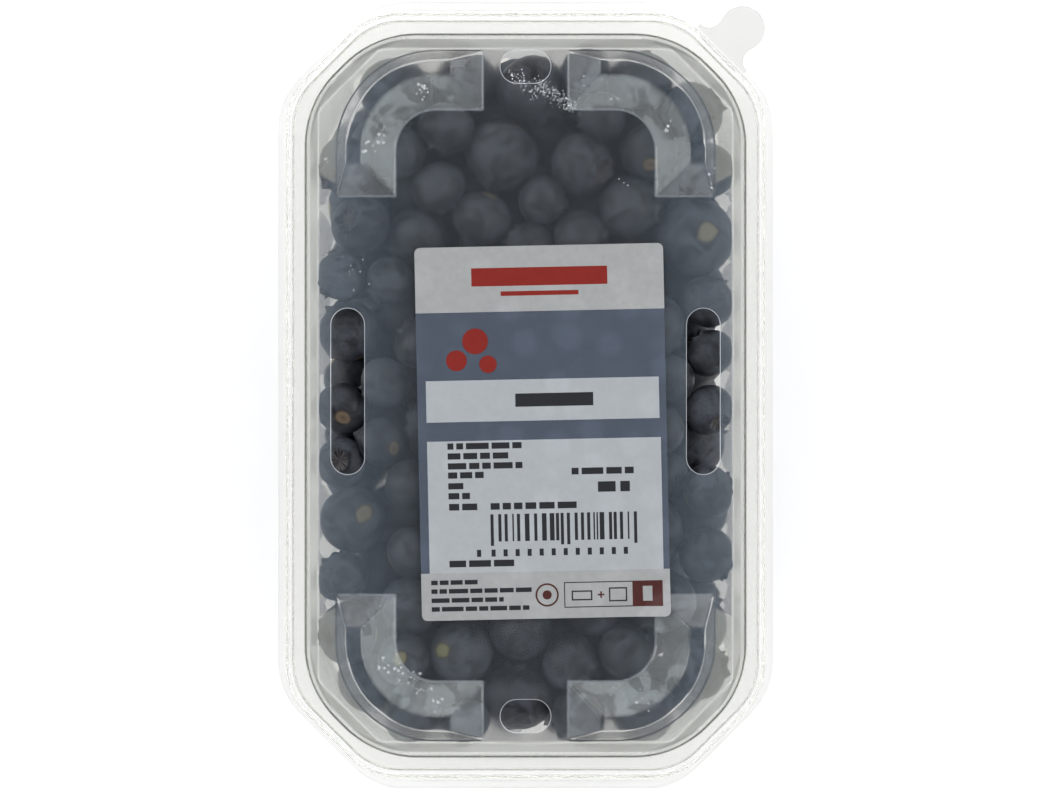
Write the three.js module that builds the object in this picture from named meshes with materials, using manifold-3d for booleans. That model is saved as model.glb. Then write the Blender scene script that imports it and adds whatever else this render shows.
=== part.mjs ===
// A clear punnet of blueberries: a thermoformed tray, a press-on lid with a recessed panel, four
// stacking lugs, four vents and a lift tab, a film label on the panel, and the heap of berries.
// Millimetres. X is the width, Y the length and Z is up. The origin is the middle of the
// footprint, on the ground.
import * as THREE from "three";
import { mergeVertices } from "three/addons/utils/BufferGeometryUtils.js";
import Module from "manifold-3d";

const wasm = await Module();
wasm.setup();

// The sheet that the tray and the lid are formed from, and the air between pieces that touch
const WALL = 0.5;
const GAP = 0.3;

// Heights above the ground
const FLANGE_TOP = 58;
const BAND_TOP = 58.8;
const PANEL_TOP = 55;
const LIP_BOTTOM = 51.5;
const FLANGE_LIP_BOTTOM = 54;
const LUG_RISE = 6;

// Each level of the pack is a rectangle with its corners cut at 45 degrees and rounded: half its
// width and length, what the cut takes off each side, and the radius between the sides
const LIP = { halfX: 59.7, halfY: 95, cut: 23.4, round: 18 };
const SKIRT_FOOT = { halfX: 58.2, halfY: 93.1, cut: 21.6, round: 17 };
const SKIRT_TOP = { halfX: 57.5, halfY: 91.9, cut: 20.2, round: 16 };
const BAND_OUTER = { halfX: 57, halfY: 91.4, cut: 19.9, round: 16 };
const BAND_INNER = { halfX: 52.1, halfY: 86.1, cut: 16, round: 24 };
const LID_MOUTH = { halfX: 51.6, halfY: 85.6, cut: 15.8, round: 23.5 };
const PANEL = { halfX: 50.1, halfY: 83.7, cut: 14.8, round: 4 };
const TRAY_MOUTH = { halfX: 52.6, halfY: 86.6, cut: 16.4, round: 24 };
const TRAY_SIDE = { halfX: 47, halfY: 81, cut: 13.5, round: 18 };
const TRAY_FLOOR = { halfX: 44.5, halfY: 78.5, cut: 12, round: 15.5 };
const FLANGE_EDGE = { halfX: 56.2, halfY: 90.3, cut: 19.4, round: 16 };
const TRAY_FILLET_TOP = 4;
const FLANGE_ROUND = 0.3;
const ARC_STEPS = 4;
const FILLET_STEPS = 3;

// The stacking lugs: L-shaped ridges with a long inner slope, sloped ends and a steep outer wall
const LUG = { inX: 31.4, inY: 69, inRound: 9.8, width: 14.2, endX: 10.3, endY: 48.1 };
const LUG_RUN = { inner: 8.2, outer: 2.3, end: 7.7 };
const LUG_ARC_STEPS = 6;

// The vents are holes with round ends: two long ones at the sides and two short ones at the ends,
// punched slightly off the middle of the lid
const SIDE_VENT = { x: 42.9, width: 8.2, length: 40.2 };
const END_VENT = { y: 78.35, width: 12.3, length: 8.1 };
const VENTS = [
  SIDE_VENT, { ...SIDE_VENT, x: -SIDE_VENT.x }, END_VENT, { ...END_VENT, y: -END_VENT.y },
];
const VENT_SHIFT = 1;
const VENT_ARC_STEPS = 6;

// The lift tab: a round lobe that flares into the lid's lip at one corner
const TAB = { lobe: 5.5, reach: 6.4, flare: 3.2, thick: 0.6, side: 47.85, end: 84.15, sink: 1.6 };

// The label: its size and place, and the corner that is lifted by a lug
const LABEL = { width: 60, length: 90, x: 4.1, y: -8.8, turn: 1.2, round: 1.4, thick: 0.2 };
const LABEL_LIFT = 0.62;

// The berries fill the tray up to the lid. They are drawn at random, then pushed apart
const SEED = 20;
const FILL = 0.62;
const BERRY = { mean: 15.2, spread: 1.9, least: 12, most: 19.5, flat: 0.9, flatSpread: 0.05 };
const PACK_STEPS = 320;
const GROW_STEPS = 160;
const PUSH = 0.5;
const MARKED_PUSH = 0.03;
const MARKED_RISE = 0.15;
const WALL_DIRECTIONS = 8;
const VENT_CLEARANCE = 2.6;
const CORE_DEPTH = 6.5;
const SHOWN_DEPTH = 3.5;

// Berries that can be told apart through the lid: place of the middle and diameter
const MARKED_BERRIES = [
  [-7.3, 57.1, 18.8], [4.2, 47.6, 12.2], [16.7, 55.2, 15.8], [27.3, 54.5, 14.2],
  [-23.4, 51.6, 13.4], [-8.1, 43.3, 14.5], [17.4, 40, 14.2], [36.2, 36.7, 19.8],
  [-41.2, 42.7, 14.6], [-32.8, 27.8, 12.4], [-43.9, -1.6, 13], [-43, -16, 12.4],
  [-34.3, 3.4, 13], [-33.8, -11.4, 12.4], [-40.5, -33.5, 16.6], [-27.5, -40.3, 12.6],
  [38.6, 6.4, 12.4], [43.2, -2.2, 12.8], [43.6, -24.4, 13.6], [43, -36.6, 14.4],
  [-15.5, -61.3, 15.8], [-27.5, -63.3, 13.2], [7.6, -62.6, 14.2], [21.3, -61.3, 14.2],
];

// Clear plastic, printed film and bloomed berry
const clearPlastic = () =>
  new THREE.MeshStandardMaterial({
    color: 0xe9ebe8, roughness: 0.12, metalness: 0, transparent: true, opacity: 0.3,
  });
const film = new THREE.MeshStandardMaterial({ color: 0xb1b6ba, roughness: 0.4, metalness: 0 });
const berrySkin = new THREE.MeshStandardMaterial({ color: 0x3d4350, roughness: 0.75, metalness: 0 });

const lerp = THREE.MathUtils.lerp;
const radians = THREE.MathUtils.degToRad;

// Moves every side of a level outwards by one distance
function grown(level, by) {
  return {
    halfX: level.halfX + by,
    halfY: level.halfY + by,
    cut: level.cut + (2 - Math.SQRT2) * by,
    round: Math.max(level.round + by, 0.5),
  };
}

function between(a, b, t) {
  return {
    halfX: lerp(a.halfX, b.halfX, t),
    halfY: lerp(a.halfY, b.halfY, t),
    cut: lerp(a.cut, b.cut, t),
    round: lerp(a.round, b.round, t),
  };
}

// How far a level's side lies from the middle, by the number of 45 degree turns from +X
function sideDistance(level, side) {
  if (side % 2) return (level.halfX + level.halfY - level.cut) / Math.SQRT2;
  return side % 4 ? level.halfY : level.halfX;
}

// The middle of the arc between one side and the next: where both, moved in by the radius, cross
function arcCentre(level, side) {
  const first = radians(45 * side);
  const near = sideDistance(level, side) - level.round;
  const next = sideDistance(level, side + 1) - level.round;
  const along = (next - near * Math.SQRT1_2) / Math.SQRT1_2;
  return new THREE.Vector2(near, along).rotateAround(new THREE.Vector2(), first);
}

// A level as a closed anticlockwise loop: an arc at each of the eight corners
function outline(level) {
  const points = [];
  for (let side = 0; side < 8; side++) {
    const centre = arcCentre(level, side);
    for (let step = 0; step <= ARC_STEPS; step++) {
      const angle = radians(45 * (side + step / ARC_STEPS));
      points.push(new THREE.Vector2(Math.cos(angle), Math.sin(angle)).multiplyScalar(level.round)
        .add(centre));
    }
  }
  return points;
}

// A closed shape through loops of equal length: rings of points at their heights, joined by
// bands, and flat caps over the first, facing down, and the last, facing up
function loft(rings) {
  const count = rings[0].loop.length;
  const positions = rings.flatMap(({ loop, z }) => loop.flatMap((p) => [p.x, p.y, z]));
  const index = [];
  for (let ring = 0; ring + 1 < rings.length; ring++) {
    for (let i = 0; i < count; i++) {
      const a = ring * count + i;
      const b = ring * count + ((i + 1) % count);
      index.push(a, b, b + count, a, b + count, a + count);
    }
  }
  const last = (rings.length - 1) * count;
  for (const [a, b, c] of THREE.ShapeUtils.triangulateShape(rings[0].loop, [])) {
    index.push(a, c, b);
  }
  for (const [a, b, c] of THREE.ShapeUtils.triangulateShape(rings.at(-1).loop, [])) {
    index.push(last + a, last + b, last + c);
  }
  const geometry = new THREE.BufferGeometry();
  geometry.setAttribute("position", new THREE.Float32BufferAttribute(positions, 3));
  geometry.setIndex(index);
  return geometry;
}

const levelsLoft = (levels) => loft(levels.map(([level, z]) => ({ loop: outline(level), z })));

function toSolid(geometry) {
  const bare = geometry.clone();
  bare.deleteAttribute("normal");
  bare.deleteAttribute("uv");
  const merged = mergeVertices(bare);
  return new wasm.Manifold(new wasm.Mesh({
    numProp: 3,
    vertProperties: new Float32Array(merged.attributes.position.array),
    triVerts: new Uint32Array(merged.index.array),
  }));
}

function toMesh(name, solid, material) {
  const { vertProperties, triVerts, numProp } = solid.getMesh();
  const positions = [];
  for (let i = 0; i < vertProperties.length; i += numProp) {
    positions.push(vertProperties[i], vertProperties[i + 1], vertProperties[i + 2]);
  }
  const geometry = new THREE.BufferGeometry();
  geometry.setAttribute("position", new THREE.Float32BufferAttribute(positions, 3));
  geometry.setIndex([...triVerts]);
  geometry.computeVertexNormals();
  const mesh = new THREE.Mesh(geometry, material);
  mesh.name = name;
  return mesh;
}

// The largest connected piece, so that a loose scrap or a sealed hollow is left out
function largestPiece(solid) {
  const pieces = solid.decompose();
  return pieces.reduce((most, piece) => (piece.volume() > most.volume() ? piece : most));
}

// The inner face of the tray's wall at a height: the fillet over the floor, then a straight draft
function trayInside(z) {
  const floor = WALL;
  if (z >= TRAY_FILLET_TOP) {
    return between(TRAY_SIDE, TRAY_MOUTH, (z - TRAY_FILLET_TOP) / (FLANGE_TOP - TRAY_FILLET_TOP));
  }
  const down = THREE.MathUtils.clamp((TRAY_FILLET_TOP - z) / (TRAY_FILLET_TOP - floor), 0, 1);
  return between(TRAY_FLOOR, TRAY_SIDE, Math.sqrt(1 - down * down));
}

// The fillet's levels from the floor up: a quarter of an ellipse
function filletLevels(by, floor) {
  const levels = [];
  for (let step = 0; step <= FILLET_STEPS; step++) {
    const angle = (step / FILLET_STEPS) * (Math.PI / 2);
    const level = between(TRAY_FLOOR, TRAY_SIDE, Math.sin(angle));
    levels.push([grown(level, by), lerp(TRAY_FILLET_TOP, floor, Math.cos(angle))]);
  }
  return levels;
}

// The tray: floor, fillet, drafted wall, a flat flange and its turned-down lip
function makeTray() {
  const lipInside = grown(FLANGE_EDGE, -WALL);
  return toSolid(levelsLoft([
    ...filletLevels(WALL, 0),
    [grown(TRAY_MOUTH, WALL), FLANGE_TOP - WALL],
    [lipInside, FLANGE_TOP - WALL],
    [lipInside, FLANGE_LIP_BOTTOM],
    [FLANGE_EDGE, FLANGE_LIP_BOTTOM],
    [FLANGE_EDGE, FLANGE_TOP - FLANGE_ROUND],
    [grown(FLANGE_EDGE, -FLANGE_ROUND), FLANGE_TOP],
    [grown(TRAY_MOUTH, FLANGE_ROUND), FLANGE_TOP],
    [TRAY_MOUTH, FLANGE_TOP - FLANGE_ROUND],
    ...filletLevels(0, WALL).reverse(),
  ]));
}

// The lid's sheet: out from under the panel, up the plug wall, under the band, down the skirt and
// round its lip, and back over the top to the panel
function makeLidSheet() {
  const bend = 0.3;
  const wallBehind = 0.9 * WALL;
  return toSolid(levelsLoft([
    [grown(PANEL, wallBehind), PANEL_TOP - WALL],
    [grown(LID_MOUTH, wallBehind), BAND_TOP - WALL - bend],
    [grown(LID_MOUTH, wallBehind + bend), BAND_TOP - WALL],
    [grown(BAND_OUTER, -bend), BAND_TOP - WALL],
    [grown(SKIRT_TOP, -WALL), BAND_TOP - WALL - bend],
    [grown(SKIRT_FOOT, -WALL), LIP_BOTTOM],
    [LIP, LIP_BOTTOM],
    [LIP, LIP_BOTTOM + WALL],
    [SKIRT_FOOT, LIP_BOTTOM + WALL],
    [SKIRT_TOP, BAND_TOP - WALL],
    [BAND_OUTER, BAND_TOP],
    [BAND_INNER, BAND_TOP],
    [LID_MOUTH, BAND_TOP - WALL],
    [PANEL, PANEL_TOP],
  ]));
}

// One lug's outline in the +X +Y quarter, each side moved in by its own distance: an L with a
// round corner, from the end of the arm along Y to the end of the arm along X and back
function lugLoop(inner, outer, end) {
  const centre = new THREE.Vector2(LUG.inX - LUG.inRound, LUG.inY - LUG.inRound);
  const inside = LUG.inRound + inner;
  const outside = LUG.inRound + LUG.width - outer;
  const arc = (radius, angle) =>
    new THREE.Vector2(Math.cos(angle), Math.sin(angle)).multiplyScalar(radius).add(centre);
  const angles = Array.from({ length: LUG_ARC_STEPS + 1 }, (_, i) =>
    (i / LUG_ARC_STEPS) * (Math.PI / 2));
  return [
    new THREE.Vector2(centre.x + inside, LUG.endY + end),
    new THREE.Vector2(centre.x + outside, LUG.endY + end),
    ...angles.map((angle) => arc(outside, angle)),
    new THREE.Vector2(LUG.endX + end, centre.y + outside),
    new THREE.Vector2(LUG.endX + end, centre.y + inside),
    ...angles.map((angle) => arc(inside, angle)).reverse(),
  ];
}

// A lug between two heights. Each face slopes in by its run over the lug's rise, and a face of
// the sheet's underside lies one thickness behind it
function lugLoft(bottom, top, thickness) {
  const rings = [bottom, top].map((z) => {
    const inset = (run) =>
      (run * (z - PANEL_TOP) + thickness * Math.hypot(run, LUG_RISE)) / LUG_RISE;
    return { loop: lugLoop(inset(LUG_RUN.inner), inset(LUG_RUN.outer), inset(LUG_RUN.end)), z };
  });
  return toSolid(loft(rings));
}

// A shape in the +X +Y quarter, at all four corners
function atCorners(solid) {
  const acrossX = solid.add(solid.mirror([1, 0, 0]));
  return acrossX.add(acrossX.mirror([0, 1, 0]));
}

// A cutter for a hole with round ends, through the lid's panel
function ventCutter({ x = 0, y = 0, width, length }) {
  const round = Math.min(width, length) / 2;
  const loop = [];
  for (let corner = 0; corner < 4; corner++) {
    const turn = corner * 90;
    const signX = corner === 0 || corner === 3 ? 1 : -1;
    const signY = corner < 2 ? 1 : -1;
    for (let step = corner % 2; step < VENT_ARC_STEPS + (corner % 2); step++) {
      const angle = radians(turn + (90 * step) / VENT_ARC_STEPS);
      loop.push(new THREE.Vector2(
        x + signX * (width / 2 - round) + round * Math.cos(angle),
        y + VENT_SHIFT + signY * (length / 2 - round) + round * Math.sin(angle),
      ));
    }
  }
  const ends = [PANEL_TOP - 2 * WALL, PANEL_TOP + WALL];
  return toSolid(loft(ends.map((z) => ({ loop, z }))));
}

// The lift tab's outline: from the lip out by a hollow flare, round the lobe and back, then the
// part that is sunk in the lip
function makeTab() {
  const { lobe, reach, flare, thick, side, end, sink } = TAB;
  const across = Math.sqrt((lobe + flare) ** 2 - (reach - flare) ** 2);
  const meet = Math.atan2(flare - reach, across);
  const shape = new THREE.Shape();
  shape.moveTo(-across, -sink);
  shape.lineTo(across, -sink);
  shape.lineTo(across, 0);
  shape.absarc(across, flare, flare, -Math.PI / 2, Math.PI + meet, true);
  shape.absarc(0, reach, lobe, meet, Math.PI - meet, false);
  shape.absarc(-across, flare, flare, -meet, -Math.PI / 2, true);
  const geometry = new THREE.ExtrudeGeometry(shape, {
    depth: thick, bevelEnabled: false, curveSegments: 8,
  });
  geometry.rotateZ(radians(-45));
  geometry.translate(side, end, LIP_BOTTOM);
  return toSolid(geometry);
}

function makeLid() {
  const lugTop = PANEL_TOP + LUG_RISE;
  let lid = makeLidSheet()
    .add(atCorners(lugLoft(PANEL_TOP - WALL / 2, lugTop, 0)))
    .subtract(atCorners(lugLoft(PANEL_TOP - 2 * WALL, lugTop - WALL, WALL)))
    .add(makeTab());
  for (const vent of VENTS) lid = lid.subtract(ventCutter(vent));
  return lid;
}

// The label: a thin film, flat on the panel but for the corner beyond a fold, which rises over
// the foot of a lug. Two flat polygons share the fold's edge
function makeLabel() {
  const { width, length, x, y, turn, round, thick } = LABEL;
  const corners = [];
  for (const [signX, signY, start] of [[1, 1, 0], [-1, 1, 90], [-1, -1, 180], [1, -1, 270]]) {
    for (const step of [0, 1, 2]) {
      const angle = radians(start + 45 * step);
      corners.push(new THREE.Vector2(
        signX * (width / 2 - round) + round * Math.cos(angle),
        signY * (length / 2 - round) + round * Math.sin(angle),
      ));
    }
  }
  const place = (p) => p.clone().rotateAround(new THREE.Vector2(), radians(turn))
    .add(new THREE.Vector2(x, y));
  const loop = corners.map(place);
  const foot = new THREE.Vector2(LUG.inX, -LUG.endY);
  const rise = new THREE.Vector2(LUG_RUN.inner, -LUG_RUN.end).normalize();
  const beyond = (p) => p.clone().sub(foot).dot(rise);
  const points = [];
  loop.forEach((point, i) => {
    const next = loop[(i + 1) % loop.length];
    points.push(point);
    if (beyond(point) * beyond(next) < 0) {
      const t = beyond(point) / (beyond(point) - beyond(next));
      points.push(point.clone().lerp(next, t));
    }
  });
  const slack = 1e-6;
  const faces = [];
  for (const side of [-1, 1]) {
    const kept = [...points.keys()].filter((i) => beyond(points[i]) * side > -slack);
    const polygon = kept.map((i) => points[i]);
    for (const face of THREE.ShapeUtils.triangulateShape(polygon, [])) {
      faces.push(face.map((i) => kept[i]));
    }
  }
  const count = points.length;
  const bottom = PANEL_TOP + GAP;
  const heights = points.map((p) => bottom + Math.max(beyond(p), 0) * LABEL_LIFT);
  const positions = [0, thick].flatMap((up) =>
    points.flatMap((p, i) => [p.x, p.y, heights[i] + up]));
  const index = [];
  for (const [a, b, c] of faces) index.push(a, c, b, count + a, count + b, count + c);
  for (let i = 0; i < count; i++) {
    const next = (i + 1) % count;
    index.push(i, next, count + next, i, count + next, count + i);
  }
  const geometry = new THREE.BufferGeometry();
  geometry.setAttribute("position", new THREE.Float32BufferAttribute(positions, 3));
  geometry.setIndex(index);
  return toSolid(geometry);
}

// A small repeatable random source: numbers from 0 to 1
function seeded(seed) {
  let state = seed;
  return () => {
    state = (state + 0x6d2b79f5) | 0;
    let t = Math.imul(state ^ (state >>> 15), 1 | state);
    t = (t + Math.imul(t ^ (t >>> 7), 61 | t)) ^ t;
    return ((t ^ (t >>> 14)) >>> 0) / 2 ** 32;
  };
}

// How far one point lies from a vent's rectangle, seen from above
function ventDistance(vent, x, y) {
  const overX = Math.max(Math.abs(x - (vent.x ?? 0)) - vent.width / 2, 0);
  const overY = Math.max(Math.abs(y - (vent.y ?? 0) - VENT_SHIFT) - vent.length / 2, 0);
  return Math.hypot(overX, overY);
}

// The highest that a berry's middle may lie: under the panel, and lower under a vent
function ceiling(berry, radius) {
  let highest = PANEL_TOP - WALL - GAP - radius;
  for (const vent of VENTS) {
    const away = ventDistance(vent, berry.x, berry.y);
    if (away < radius) {
      const top = Math.sqrt(radius * radius - away * away);
      highest = Math.min(highest, PANEL_TOP - WALL - VENT_CLEARANCE - top);
    }
  }
  return highest;
}

// Moves a berry back inside the tray: by height, then from each wall direction in its quarter
function keepInside(berry, radius) {
  berry.z = Math.min(Math.max(berry.z, WALL + GAP + radius), ceiling(berry, radius));
  const wall = trayInside(berry.z);
  for (let step = 0; step <= WALL_DIRECTIONS; step++) {
    const angle = radians((90 * step) / WALL_DIRECTIONS);
    const centre = arcCentre(wall, 2 * step < WALL_DIRECTIONS ? 0 : 1);
    const nx = Math.cos(angle);
    const ny = Math.sin(angle);
    const most = centre.x * nx + centre.y * ny + wall.round - radius - GAP;
    const out = Math.abs(berry.x) * nx + Math.abs(berry.y) * ny - most;
    if (out > 0) {
      berry.x -= Math.sign(berry.x) * nx * out;
      berry.y -= Math.sign(berry.y) * ny * out;
    }
  }
}

// The berries' places and sizes. The marked ones start under the lid, the others anywhere. All
// grow to full size while those that touch push each other apart
function packBerries() {
  const random = seeded(SEED);
  const within = (least, most) => least + (most - least) * random();
  const berries = MARKED_BERRIES.map(([x, y, diameter]) =>
    ({ x, y, z: PANEL_TOP - diameter / 2, diameter, marked: true }));
  const floorArea = 4 * TRAY_FLOOR.halfX * TRAY_FLOOR.halfY - 2 * TRAY_FLOOR.cut ** 2;
  const mouthArea = 4 * TRAY_MOUTH.halfX * TRAY_MOUTH.halfY - 2 * TRAY_MOUTH.cut ** 2;
  let room = (FILL * (floorArea + mouthArea) * (PANEL_TOP - WALL)) / 2;
  for (const { diameter } of berries) room -= (Math.PI / 6) * diameter ** 3;
  while (room > 0) {
    const normal = random() + random() + random() + random() - 2;
    const diameter = THREE.MathUtils.clamp(
      BERRY.mean + BERRY.spread * normal * Math.sqrt(3), BERRY.least, BERRY.most);
    berries.push({
      x: within(-TRAY_SIDE.halfX, TRAY_SIDE.halfX),
      y: within(-TRAY_SIDE.halfY, TRAY_SIDE.halfY),
      z: within(WALL, PANEL_TOP),
      diameter,
      marked: false,
    });
    room -= (Math.PI / 6) * diameter ** 3;
  }
  for (let step = 0; step < PACK_STEPS; step++) {
    const size = Math.min(0.5 + (0.5 * step) / GROW_STEPS, 1);
    const moves = berries.map(() => new THREE.Vector3());
    for (let i = 0; i < berries.length; i++) {
      for (let j = i + 1; j < berries.length; j++) {
        const a = berries[i];
        const b = berries[j];
        const apart = new THREE.Vector3(a.x - b.x, a.y - b.y, a.z - b.z);
        const touch = (size * (a.diameter + b.diameter)) / 2;
        const distance = apart.length();
        if (distance < touch && distance > 0) {
          apart.multiplyScalar((touch - distance) / distance / 2);
          moves[i].add(apart);
          moves[j].sub(apart);
        }
      }
    }
    berries.forEach((berry, i) => {
      const share = berry.marked ? MARKED_PUSH : PUSH;
      berry.x += moves[i].x * share;
      berry.y += moves[i].y * share;
      berry.z += moves[i].z * PUSH + (berry.marked ? MARKED_RISE : 0);
      keepInside(berry, (size * berry.diameter) / 2);
    });
  }
  for (const berry of berries) {
    berry.flat = BERRY.flat + BERRY.flatSpread * (2 * random() - 1);
    berry.axis = new THREE.Vector3(within(-1, 1), within(-1, 1), within(-1, 1)).normalize();
  }
  return berries;
}

// How deep a berry's nearest point lies behind the heap's outside
function depthInHeap(berry) {
  const wall = trayInside(berry.z);
  let depth = Math.min(PANEL_TOP - WALL - berry.z, berry.z - WALL);
  for (let side = 0; side <= 2; side++) {
    const angle = radians(45 * side);
    const out = Math.abs(berry.x) * Math.cos(angle) + Math.abs(berry.y) * Math.sin(angle);
    depth = Math.min(depth, sideDistance(wall, side) - out);
  }
  return depth - berry.diameter / 2;
}

// One berry with few sides, flattened along its own axis
function berrySolid(berry, sphere) {
  const turn = new THREE.Quaternion().setFromUnitVectors(new THREE.Vector3(0, 0, 1), berry.axis);
  const radius = berry.diameter / 2;
  const matrix = new THREE.Matrix4().compose(
    new THREE.Vector3(berry.x, berry.y, berry.z), turn,
    new THREE.Vector3(radius, radius, radius * berry.flat));
  return toSolid(sphere.clone().applyMatrix4(matrix));
}

// The heap: a core that follows the tray, with every berry that shows fused on
function makeBerries() {
  const coreBottom = WALL + CORE_DEPTH;
  const coreTop = PANEL_TOP - WALL - CORE_DEPTH;
  const core = toSolid(levelsLoft([coreBottom, coreTop].map((z) =>
    [grown(trayInside(z), -CORE_DEPTH), z])));
  const fine = new THREE.IcosahedronGeometry(1, 1);
  const coarse = new THREE.DodecahedronGeometry(1, 0);
  const shown = packBerries().filter((berry) => depthInHeap(berry) < SHOWN_DEPTH);
  const pieces = shown.map((berry) =>
    berrySolid(berry, berry.z > coreTop ? fine : coarse));
  return largestPiece(wasm.Manifold.union([core, ...pieces]));
}

const punnet = new THREE.Group();
punnet.add(
  toMesh("tray", makeTray(), clearPlastic()),
  toMesh("lid", makeLid(), clearPlastic()),
  toMesh("label", makeLabel(), film),
  toMesh("berries", makeBerries(), berrySkin),
);

export default punnet;
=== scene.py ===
"""A clear punnet of blueberries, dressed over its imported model.

The tray and the lid are shells of clear PET, the label is a printed film, and the berries are
loose fruit over a dark core. Sizes are in millimetres in the classes, and meshes are in metres.
"""

import logging
import math
from dataclasses import dataclass, field
from enum import Enum
from typing import Any, Sequence

import bpy
import numpy as np
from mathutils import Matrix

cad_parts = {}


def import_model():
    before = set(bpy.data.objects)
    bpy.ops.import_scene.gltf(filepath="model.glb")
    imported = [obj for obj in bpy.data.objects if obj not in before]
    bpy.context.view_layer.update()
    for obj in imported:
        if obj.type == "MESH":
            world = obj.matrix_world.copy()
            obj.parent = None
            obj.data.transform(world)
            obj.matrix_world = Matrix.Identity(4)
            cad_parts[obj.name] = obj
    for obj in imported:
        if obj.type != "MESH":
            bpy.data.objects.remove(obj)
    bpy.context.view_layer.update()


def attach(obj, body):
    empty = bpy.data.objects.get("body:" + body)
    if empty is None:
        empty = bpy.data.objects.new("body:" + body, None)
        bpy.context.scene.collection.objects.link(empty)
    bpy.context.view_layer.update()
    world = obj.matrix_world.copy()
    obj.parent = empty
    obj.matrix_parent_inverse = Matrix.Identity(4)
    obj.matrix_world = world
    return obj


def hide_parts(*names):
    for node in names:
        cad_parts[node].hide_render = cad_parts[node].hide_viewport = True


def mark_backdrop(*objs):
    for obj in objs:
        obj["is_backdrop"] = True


Array = np.ndarray
Tree = bpy.types.NodeTree
Material = bpy.types.Material
Piece = bpy.types.Object

MM = 0.001
ROOT_HALF = math.sqrt(0.5)

log = logging.getLogger("punnet")


class Zone(Enum):
    """A zone of the lid's sheet, in the order of the material slots."""

    RIM = 0
    PANEL = 1
    PLUG = 2
    SLOPE = 3
    END = 4
    BEND = 5
    CUT = 6
    TAB = 7
    CORNER = 8


class Mark(Enum):
    """What a berry turns up towards the lid."""

    PLAIN = "plain"
    CROWN = "crown"
    SCAR = "scar"


def linear(hex_colour: str, alpha: float = 1.0) -> tuple[float, float, float, float]:
    """Turn an sRGB hex colour to linear light.

    Args:
        hex_colour: Six hex digits, with or without a leading hash sign.
        alpha: The fourth value of the result.

    Returns:
        Linear red, green and blue, and alpha.
    """
    digits = hex_colour.lstrip("#")
    channels = [int(digits[i : i + 2], 16) / 255 for i in (0, 2, 4)]
    low, step, power = 0.04045, 12.92, 2.4
    light = [c / step if c <= low else ((c + 0.055) / 1.055) ** power for c in channels]
    return (light[0], light[1], light[2], alpha)


def add_node(
    tree: Tree, kind: str, inputs: dict[str | int, Any] | Sequence[Any] = (), out: str | int = 0,
    **settings: Any,
) -> Any:
    """Add a node with its settings and links.

    Args:
        tree: The node tree.
        kind: The node's type name after "ShaderNode".
        inputs: What each input gets, by its name or number or in order: a socket or a value.
        out: The name or number of the output that is wanted.
        settings: The node's properties.

    Returns:
        The output's socket, or None for a node that has none.
    """
    node = tree.nodes.new("ShaderNode" + kind)
    for name, value in settings.items():
        setattr(node, name, value)
    for name, value in inputs.items() if isinstance(inputs, dict) else enumerate(inputs):
        if isinstance(value, bpy.types.NodeSocket):
            tree.links.new(value, node.inputs[name])
        else:
            node.inputs[name].default_value = value
    return node.outputs[out] if node.outputs else None


def new_material(name: str) -> tuple[Material, Tree]:
    """Make an empty node material.

    Args:
        name: The material's name.

    Returns:
        The material and its node tree.
    """
    material = bpy.data.materials.new(name)
    material.use_nodes = True
    material.node_tree.nodes.clear()
    return material, material.node_tree


def let_lamps_through(tree: Tree, surface: Any, tint: str) -> None:
    """End a clear material: its own surface to the eye, and a clear pane to shadow rays.

    Args:
        tree: The material's tree.
        surface: The surface's shader socket.
        tint: What shadow rays are tinted with.
    """
    through = add_node(tree, "BsdfTransparent", {"Color": linear(tint)})
    shadow = add_node(tree, "LightPath", out="Is Shadow Ray")
    mix = add_node(tree, "MixShader", (shadow, surface, through))
    add_node(tree, "OutputMaterial", {"Surface": mix})


def object_from(
    name: str, points: Array, faces: Sequence[Sequence[int]] | Array, materials: Sequence[Material],
    smooth: bool = True,
) -> Piece:
    """Put an array of points and faces into a new object at the world origin.

    Args:
        name: The piece's name.
        points: Points in millimetres, one row each.
        faces: Point numbers of each face.
        materials: The piece's material slots.
        smooth: Whether the faces are shaded smooth.

    Returns:
        The linked object.
    """
    mesh = bpy.data.meshes.new(name)
    faces = faces.tolist() if isinstance(faces, Array) else [list(f) for f in faces]
    mesh.from_pydata((np.asarray(points, float) * MM).tolist(), [], faces)
    mesh.update()
    mesh.polygons.foreach_set("use_smooth", np.full(len(mesh.polygons), smooth))
    for material in materials:
        mesh.materials.append(material)
    obj = bpy.data.objects.new(name, mesh)
    bpy.context.scene.collection.objects.link(obj)
    return obj


def apply_modifiers(obj: Piece) -> None:
    """Replace an object's mesh by its evaluated one, without its modifiers."""
    graph = bpy.context.evaluated_depsgraph_get()
    done = bpy.data.meshes.new_from_object(obj.evaluated_get(graph))
    old = obj.data
    obj.modifiers.clear()
    obj.data = done
    bpy.data.meshes.remove(old)


def boolean(obj: Piece, tool: Piece, operation: str) -> None:
    """Join a closed tool to an object, or cut it out, and remove the tool."""
    step = obj.modifiers.new("join", "BOOLEAN")
    step.object = tool
    step.operation = operation
    step.solver = "MANIFOLD"
    apply_modifiers(obj)
    bpy.data.objects.remove(tool)


@dataclass(frozen=True)
class Level:
    """A rectangle with its corners cut at 45 degrees and rounded, in millimetres."""

    half_x: float
    half_y: float
    cut: float
    round: float

    def row(self, z: float, by: float = 0.0) -> Array:
        """Give the level as numbers, moved outwards.

        Args:
            z: Its height.
            by: How far each side moves out.

        Returns:
            Half width, half length, cut, round and height.
        """
        cut = self.cut + (2 - math.sqrt(2)) * by
        return np.array([self.half_x + by, self.half_y + by, cut, max(self.round + by, 0.5), z])


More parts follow.
